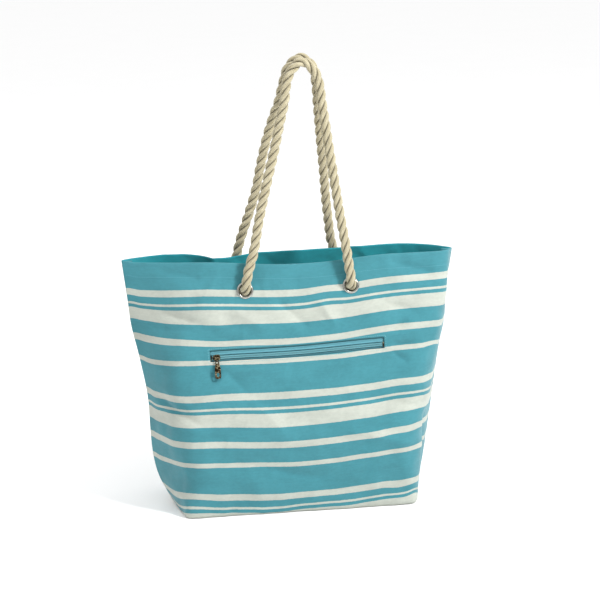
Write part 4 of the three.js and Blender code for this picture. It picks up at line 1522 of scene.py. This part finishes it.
# The tab's shoulder, from its top: half width and distance down.
PULL_SHOULDER = [
    (0.9, 0), (1.9, 0.35), (2.6, 1.2), (3.0, 2.6), (2.9, 4.4), (3.3, 6.5), (4.1, 9), (PULL_HALF, 12),
]
# The hole: how far down it is and its radius.
PULL_HOLE = (2.5, 1.35)
# The slot: how far its two round ends are above the tab's end, and their radius.
PULL_SLOT = (5.2, 7.2, 2.0)
# The raised rim's wire, and how the tab's outline is drawn in to place it.
PULL_RIM = 0.3
PULL_RIM_Y = -0.5
PULL_RIM_SCALE = (0.82, 0.94)
PULL_RIM_RISE = 0.9


def zip_pull():
    """A flat tab with a hole at its top, a slot near its bottom and a raised rim."""
    bottom = PULL_TOP - PULL_LENGTH
    right = [(x, PULL_TOP - down) for x, down in PULL_SHOULDER] + [(PULL_HALF, bottom + 4)]
    right += arc((PULL_HALF - PULL_CORNER, bottom + PULL_CORNER), PULL_CORNER, 0, -80, 8)
    hole = circle(0, PULL_TOP - PULL_HOLE[0], PULL_HOLE[1])
    slot_low, slot_high, slot_radius = PULL_SLOT
    slot = arc((0, bottom + slot_high), slot_radius, 0, 180, 12)
    slot += arc((0, bottom + slot_low), slot_radius, 180, 360, 12)
    body = plate(mirrored_outline(right), [hole, slot], *PULL_PLATE)
    rim_low = bottom + PULL_RIM_RISE
    scale_x, scale_z = PULL_RIM_SCALE
    rim = mirrored_outline([(x * scale_x, rim_low + (z - bottom) * scale_z) for x, z in right[5:]])
    loop = [(x, PULL_RIM_Y, z) for x, z in rim + rim[:1]]
    raised = swept_ring(resampled(np.array(loop), 0.7)[:-1], (0, 1, 0), PULL_RIM, 8)
    return [shifted(shape, (0, BAIL_BAR_Y, 0)) for shape in (body, raised)]


def window_stitches():
    """The row of stitches in the canvas round the zip window."""
    half = ZIP_LENGTH / 2 + WINDOW_STITCH
    high, low = WINDOW_ABOVE + WINDOW_STITCH, -WINDOW_BELOW - WINDOW_STITCH
    corners = [(-half, low), (half, low), (half, high), (-half, high), (-half, low)]
    parts = []
    for (x0, z0), (x1, z1) in zip(corners, corners[1:]):
        line = bent(resampled(np.array([(x0, 0.0, z0), (x1, 0.0, z1)]), 2.0))
        parts += stitch_row(line, (0, -1, 0))
    return parts


POUCH_HALF = ZIP_LENGTH / 2 + 5.4
POUCH_LOW = ZIP_HEIGHT - 129.5
POUCH_HIGH = ZIP_HEIGHT + 19.5
POUCH_DEPTH = 12.0
POUCH_EDGE = 0.5
POUCH_FULLNESS = 3.3
POUCH_RIPPLE = 0.5
POUCH_RIPPLE_LENGTH = 60.0
POUCH_THICKNESS = 0.5
POUCH_STEPS = (110, 64)
POUCH_SQUARENESS = 5
# The slot for the zip: half its length, its height and half its width.
POUCH_MOUTH = (ZIP_LENGTH / 2 - 6, ZIP_HEIGHT + 1.5, 8)


def pouch_puff(x, z):
    """How far each sheet of the pouch stands out from its middle."""
    middle, half = (POUCH_LOW + POUCH_HIGH) / 2, (POUCH_HIGH - POUCH_LOW) / 2
    across = 1 - np.abs(x / POUCH_HALF) ** POUCH_SQUARENESS
    down = 1 - np.abs((z - middle) / half) ** POUCH_SQUARENESS
    fullness = POUCH_FULLNESS + POUCH_RIPPLE * noise_field(POUCH_SEED, x, z, POUCH_RIPPLE_LENGTH, 2)
    return POUCH_EDGE + fullness * np.sqrt(np.clip(across * down, 0, 1))


def pocket_bag(material):
    """The pouch behind the zip: two thin cotton sheets joined round the edge, with a slot for the zip."""
    middle = ZIP_PLACE[1, 3] + POUCH_DEPTH
    points, faces, uv = soft_slab(
        (-POUCH_HALF, POUCH_HALF),
        (POUCH_LOW, POUCH_HIGH),
        lambda x, z: middle - pouch_puff(x, z),
        lambda x, z: middle + pouch_puff(x, z),
        POUCH_STEPS,
    )
    mouth_half, mouth_height, mouth_reach = POUCH_MOUTH
    kept = []
    for face in faces:
        x, _, z = points[face].mean(axis=0)
        in_front = max(face) < len(points) // 2
        if not (in_front and abs(x) < mouth_half and abs(z - mouth_height) < mouth_reach):
            kept.append(face)
    obj = mesh_object("zip_pouch", points + (ZIP_MIDDLE, 0, 0), kept, uv, material)
    thicken(obj, POUCH_THICKNESS)
    filed(obj, "bag", ["pocket_bag"])


def zip_pieces(canvas, tape, coil, edge, thread, coil_shadow_thread, brass):
    half = ZIP_LENGTH / 2
    for label, side in (("upper", 1), ("lower", -1)):
        names = f"zip_{label}_ribbon", f"zip_{label}_teeth"
        piece(names[0], [zip_tape(side)], tape, "bag", [f"zip_tape_{label}"], ZIP_PLACE)
        piece(names[1], zip_coil(side), coil, "bag", [f"zip_coil_{label}"], ZIP_PLACE)
    piece("zip_window_frame", zip_welt(), canvas, "bag", ["zip_window_welt"], ZIP_PLACE)
    piece("zip_window_lip", window_lip(), edge, "bag", (), ZIP_PLACE)
    for label, x, replaced in (
        ("closed", STOP_INSET - half, "zip_top_stop"),
        ("open", half - STOP_INSET, "zip_bottom_stop"),
    ):
        piece(f"zip_{label}_end_staple", [zip_stop(x)], brass, "bag", [replaced], ZIP_PLACE)
    piece("zip_topstitch", window_stitches(), thread, "bag", (), ZIP_PLACE)
    piece("zip_coil_sewing", coil_stitches(), coil_shadow_thread, "bag", (), ZIP_PLACE)
    slider_place = ZIP_PLACE @ np.array(Matrix.Translation((ZIP_TRAVEL_START, 0, 0)))
    for name, parts, body, replaced in (
        ("zip_slider_body", zip_slider(), "zip_runner", "zip_slider"),
        ("zip_link_ring", [zip_link()], "zip_tab", "zip_link"),
        ("zip_pull_tab", zip_pull(), "zip_tab", "zip_pull"),
    ):
        piece(name, parts, brass, body, [replaced], slider_place)


# ---------- eyelets, washers and knots ----------
# Profiles as radius and distance into the bag.
EYELET_BARREL = [
    (8.95, -0.4), (8.5, 0.6), (EYELET_HOLE, 1.6), (8.6, 2.5), (9.3, 2.9), (9.6, 2.62), (9.1, 2.4), (9.0, 1.6),
]
EYELET_FLANGE = [
    (9.1, 0.2), (9.4, -0.38), (12.0, -0.4), (12.45, -0.5), (EYELET_RIM, -0.8), (12.4, -1.15), (11.9, -1.5),
    (11.2, -1.85),
]
EYELET_ROLL = arc((10.35, -0.55), 1.5, 268, 200, 8)
EYELET_PROFILE = EYELET_BARREL + EYELET_FLANGE + EYELET_ROLL
WASHER_PROFILE = [
    (9.5, 1.65), (9.5, 2.3), (9.9, 2.5), (10.8, 2.62), (11.8, 2.5), (12.4, 2.2), (EYELET_RIM, 1.8),
    (12.5, 1.62),
]
KNOT_DEPTH = 19.5
KNOT_SCALE = 4.15
# The part of a trefoil that the rope follows, in degrees.
KNOT_TURN = (207, 513)
KNOT_STEPS = 40
KNOT_ENTRY = [(0, 3.0, 0), (0, 6.5, -1.0)]
KNOT_TAIL = [(1.4, KNOT_DEPTH + 2.5, -17.5), (2.2, KNOT_DEPTH + 1, -24), (2.2, KNOT_DEPTH, -34)]
KNOT_SPACING = 0.9
KNOT_ROPE = {"radius": 7.3, "sides": 14, "lay": 44.0, "phase": 0.6}
KNOT_SQUEEZE = 0.16
WHIPPING_TURNS = 7
WHIPPING_PITCH = 1.05
WHIPPING_THREAD = 0.55
WHIPPING_STEPS = 24
WHIPPING_TOP = (2.2, KNOT_DEPTH + 0.3, -26.5)


def knot_line():
    """An overhand knot seated on the washer, in the eyelet's frame, ending in a short hanging tail."""
    turn = np.radians(np.linspace(*KNOT_TURN, KNOT_STEPS))
    lobes = np.stack([
        KNOT_SCALE * (np.sin(turn) + 2 * np.sin(2 * turn)),
        KNOT_DEPTH - 1.75 * KNOT_SCALE * np.sin(3 * turn),
        KNOT_SCALE * (np.cos(turn) - 2 * np.cos(2 * turn)),
    ], -1)
    return smooth_line([*KNOT_ENTRY, *lobes, *KNOT_TAIL], KNOT_SPACING)


def whipping_line():
    """Thread wound round the rope's tail."""
    angle = np.linspace(0, WHIPPING_TURNS * math.tau, WHIPPING_TURNS * WHIPPING_STEPS)
    turns = [ROPE_RADIUS * np.cos(angle), ROPE_RADIUS * np.sin(angle), -WHIPPING_PITCH * angle / math.tau]
    return np.stack(turns, -1) + WHIPPING_TOP


def rope_knot(end, side, rope, thread):
    """A rope end's knot and tail, and its whipping."""
    place = EYELETS[(end, side)]
    line = knot_line()
    share = np.linspace(0, 1, len(line))
    in_knot = smooth_step(0.02, 0.15, share) * (1 - smooth_step(0.75, 0.9, share))
    parts, grooves = rope_strands(line, squeeze=1 - KNOT_SQUEEZE * in_knot, **KNOT_ROPE)
    knot = rope_object(f"{end}_{side}_knot", placed(parts, place), grooves, rope)
    filed(knot, "bag", [f"{end}_{side}_rope_end"])
    wrap = swept(whipping_line(), WHIPPING_THREAD, 8)
    whipping = piece(f"{end}_{side}_whipping", [wrap], thread, "bag", (), place)
    return [knot, whipping]


def eyelet_pieces(nickel):
    for (end, side), place in EYELETS.items():
        for name, profile, replaced in (
            ("grommet", EYELET_PROFILE, "eyelet"),
            ("backing_ring", WASHER_PROFILE, "washer"),
        ):
            label = f"{end}_{side}_"
            ring = [turned(profile)]
            piece(label + name, ring, nickel, "bag", [label + replaced], place)


# ---------- bound seams inside ----------
# The folded tape's section, then how far in from the seam it and its stitches are.
BINDING_HALF = 4.3
BINDING_RADIUS = 1.05
BINDING_SPACING = 3.0
BINDING_WAVER = 0.06
BINDING_AROUND = 20
BINDING_IN = 19
BINDING_STITCH_IN = 3.2
BINDING_STITCH_OUT = 1.1
BASE_BINDING_HEIGHT = 6.6
SIDE_BINDING_STEPS = 40
SIDE_BINDING_FOOT = 14.5
SIDE_BINDING_TOP = BAG_HEIGHT - HEM_WIDTH - 1.2
BASE_BINDING = (-150.5, 164.5)
# The boxed corners: label, inwards direction, X at the ends and in the middle.
CORNER_BINDINGS = [("left", 1, -159.0, -168.0), ("right", -1, 173.0, 180.0)]
# How a corner's tape bows: share of the way from its end X to its middle X, and Y.
CORNER_BINDING_ROUTE = [(0, -59), (0.5, -30), (1, 0), (0.5, 30), (0, 59)]


def bound_seam(line, side, up):
    """Folded tape round a raw edge: a rounded flat profile carried along a line."""
    line = resampled(np.asarray(line, float), BINDING_SPACING)
    profile = arc((0, BINDING_HALF), BINDING_RADIUS, 0, 180, 8)
    profile = np.array(profile + arc((0, -BINDING_HALF), BINDING_RADIUS, 180, 360, 8))
    run = run_along(line)
    waver = 1 + BINDING_WAVER * np.sin(run / 9.0)
    sideways = profile[None, :, :1] * np.asarray(side, float) * waver[:, None, None]
    rings = line[:, None] + sideways + profile[None, :, 1:] * np.asarray(up, float)
    around = np.linspace(0, BINDING_AROUND, len(profile))
    uv = np.stack(np.broadcast_arrays(run[:, None], around[None, :]), -1)
    faces = grid_faces(len(line), len(profile), loop_columns=True).tolist()
    faces.append(list(range(len(profile))))
    faces.append([(len(line) - 1) * len(profile) + i for i in reversed(range(len(profile)))])
    return rings.reshape(-1, 3), faces, uv.reshape(-1, 2)


def side_binding(label, seam, sinks, inwards, binding, thread):
    """The tape up one side seam, and its stitches."""
    heights = np.linspace(SIDE_BINDING_FOOT, SIDE_BINDING_TOP, SIDE_BINDING_STEPS)
    line = np.array([(seam_place(seam, sinks, inwards, z) + inwards * BINDING_IN, 0, z) for z in heights])
    tape = bound_seam(line, (0, 1, 0), (inwards, 0, 0))
    piece(f"{label}_side_binding", [tape], binding, "bag", [f"{label}_seam_binding"])
    edge = line + (inwards * BINDING_STITCH_IN, 0, 0)
    stitches = []
    for side in (-1, 1):
        stitches += stitch_row(edge + (0, side * BINDING_STITCH_OUT, 0), (0, side, 0), 3.6, 2.6)
    piece(f"{label}_side_binding_stitches", stitches, thread, "bag")


def binding_pieces(binding, thread):
    side_binding("left", LEFT_SEAM, LEFT_SINKS, 1, binding, thread)
    side_binding("right", RIGHT_SEAM, RIGHT_SINKS, -1, binding, thread)
    low = [(x, 0, BASE_BINDING_HEIGHT) for x in BASE_BINDING]
    tape = bound_seam(low, (0, 1, 0), (0, 0, 1))
    piece("base_binding", [tape], binding, "bag", ["base_seam_binding"])
    for label, inwards, end_x, middle_x in CORNER_BINDINGS:
        bow = middle_x - end_x
        route = [(end_x + bow * share, y, BASE_BINDING_HEIGHT) for share, y in CORNER_BINDING_ROUTE]
        line = smooth_line(route, BINDING_SPACING) + (inwards, 0, 0)
        tape = bound_seam(line, (1, 0, 0), (0, 0, 1))
        name = f"{label}_boxed_corner_binding"
        piece(name, [tape], binding, "bag", [f"{label}_corner_binding"])


# ---------- hem stitching ----------
HEM_STITCH = 22.8
HEM_STITCH_END = 4


def hem_stitches(end, grid, normal, below, thread):
    """A row of stitches below the rim on the outside, and the same row on the hem inside."""
    points, outwards = [], []
    for column in range(FIN_STEPS + HEM_STITCH_END, COLUMNS - FIN_STEPS - HEM_STITCH_END):
        down = below[WALL, column][::-1]
        points.append(points_at(grid[WALL, column][::-1], down, HEM_STITCH))
        outwards.append(unit(points_at(normal[WALL, column][::-1], down, HEM_STITCH)))
    points, outwards = np.array(points), np.array(outwards)
    gap = 2 * np.minimum(ROLL_SHARE * np.abs(points[:, 1:2]), ROLL_RADIUS)
    parts = stitch_row(points, outwards) + stitch_row(points - outwards * gap, -outwards)
    piece(f"{end}_hem_stitches", parts, thread, "bag")


# ---------- camera ----------
def make_camera():
    azimuth, elevation = CAMERA_AZIMUTH, CAMERA_ELEVATION
    away = Vector((
        math.sin(azimuth) * math.cos(elevation),
        -math.cos(azimuth) * math.cos(elevation),
        math.sin(elevation),
    ))
    right = (-away).cross(Vector((0, 0, 1))).normalized()
    up = right.cross(-away)
    rolled_right = right * math.cos(CAMERA_ROLL) + up * math.sin(CAMERA_ROLL)
    rolled_up = up * math.cos(CAMERA_ROLL) - right * math.sin(CAMERA_ROLL)
    data = bpy.data.cameras.new("camera")
    data.lens = CAMERA_LENS
    data.clip_end = 100
    camera = bpy.data.objects.new("camera", data)
    bpy.context.scene.collection.objects.link(camera)
    place = Matrix((rolled_right, rolled_up, away)).transposed().to_4x4()
    place.translation = CAMERA_TARGET + away * CAMERA_DISTANCE
    camera.matrix_world = place
    bpy.context.scene.camera = camera


# ---------- stage ----------
DOME_HORIZON = 0.08
DOME_TOP = 1.52
FLOOR_REACH = 40000.0
# Each soft light: where it is and what it points at, in metres, the length of its sides and its power.
SOFT_LIGHTS = {
    "key": ((1.5, -1.6, 2.3), (0, 0, 0.25), 0.5, 82),
    "fill": ((-2.2, -2.0, 0.9), (0, 0, 0.3), 1.6, 3),
    "back": ((-1.6, 2.6, 1.5), (0, 0, 0.2), 1.8, 22),
}


def make_stage():
    n = Nodes("floor_paint")
    n.finish(Base_Color=n.mix(n.noise(n.place(), 6.0, 3), grey(0.93), grey(0.95)), Roughness=0.9)
    corners = [(x * FLOOR_REACH, y * FLOOR_REACH, 0) for x, y in ((-1, -1), (1, -1), (1, 1), (-1, 1))]
    mesh_object("floor", corners, [(0, 1, 2, 3)], None, n.material)


def soft_light(name, place, target, size, power):
    data = bpy.data.lights.new(name, "AREA")
    data.size = size
    data.energy = power
    light = bpy.data.objects.new(name, data)
    bpy.context.scene.collection.objects.link(light)
    light.location = place
    light.rotation_euler = (Vector(target) - Vector(place)).to_track_quat("-Z", "Y").to_euler()


def make_light():
    """A pale studio: a dome that is brightest overhead, and a key, a fill and a back light."""
    world = bpy.data.worlds.new("studio")
    world.use_nodes = True
    tree = world.node_tree
    direction = tree.nodes.new("ShaderNodeTexCoord").outputs["Generated"]
    parts = tree.nodes.new("ShaderNodeSeparateXYZ")
    lift = tree.nodes.new("ShaderNodeMapRange")
    background = tree.nodes["Background"]
    tree.links.new(direction, parts.inputs[0])
    tree.links.new(parts.outputs["Z"], lift.inputs["Value"])
    lift.inputs["To Min"].default_value = DOME_HORIZON
    lift.inputs["To Max"].default_value = DOME_TOP
    tree.links.new(lift.outputs["Result"], background.inputs["Strength"])
    background.inputs["Color"].default_value = grey(1.0)
    bpy.context.scene.world = world
    for name, settings in SOFT_LIGHTS.items():
        soft_light(name, *settings)
    bpy.context.scene.view_settings.view_transform = "Standard"


# ---------- build ----------
make_camera()
canvas = canvas_material("striped_canvas", True)
hem_canvas = canvas_material("hem_canvas", False, HEM_TEAL)
rope = rope_material("twisted_cotton_rope")
tape = tape_material("dyed_zip_tape", TAPE_TEAL)
coil = thread_material("dyed_coil", TEAL_THREAD)
teal_thread = thread_material("teal_sewing_thread", TEAL_THREAD)
hem_thread = thread_material("hem_sewing_thread", HEM_THREAD)
# Dark thread for the coil sewing: painted shadow beside the coil.
coil_shadow_thread = thread_material("coil_thread_painted_shadow", COIL_SHADOW_TEAL)
natural_thread = thread_material("natural_whipping_thread", ROPE_LIGHT)
binding = tape_material("seam_binding_tape", BINDING_TEAL, 0.8)
# The lip's dark tape is partly painted shade along the zip window's edges.
window_lip_shade = tape_material("window_lip_shade_tape", LIP_SHADE_TEAL, 0.8)
lining = lining_material("cotton_lining")
nickel = metal_material("nickel_plate", NICKEL, 0.16)
brass = metal_material("antique_brass", BRASS, 0.3, BRASS_TARNISH)

for end, route in (("front", FRONT_ROPE), ("back", BACK_ROPE)):
    loop, line = rope_handle(end, route, rope)
    mouth = to_world(EYELETS[(end, "left")], (0, ROPE_MOUTH, 0))
    outer = to_world(EYELETS[(end, "left")], (0, -HINGE_STAND_OFF, HINGE_RISE))
    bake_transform(loop)
    knots = [knot for side in EYELET_PLACES for knot in rope_knot(end, side, rope, natural_thread)]
    to_world(EYELETS[(end, "left")], (0, 0, 0)) * MM
    float(run_along(line)[-1]) * MM

for end, panel, creases, seed in (
    ("front", FRONT, FRONT_CREASES, FRONT_SEED),
    ("back", BACK, BACK_CREASES, BACK_SEED),
):
    cloth, grid, normal, below = canvas_panel(end + "_canvas", panel, creases, seed, canvas, hem_canvas)
    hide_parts(end + "_panel", end + "_hem_facing")
    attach(cloth, "bag")
    hem_stitches(end, grid, normal, below, hem_thread)

eyelet_pieces(nickel)
zip_pieces(canvas, tape, coil, window_lip_shade, teal_thread, coil_shadow_thread, brass)
pocket_bag(lining)
binding_pieces(binding, teal_thread)
make_stage()
make_light()
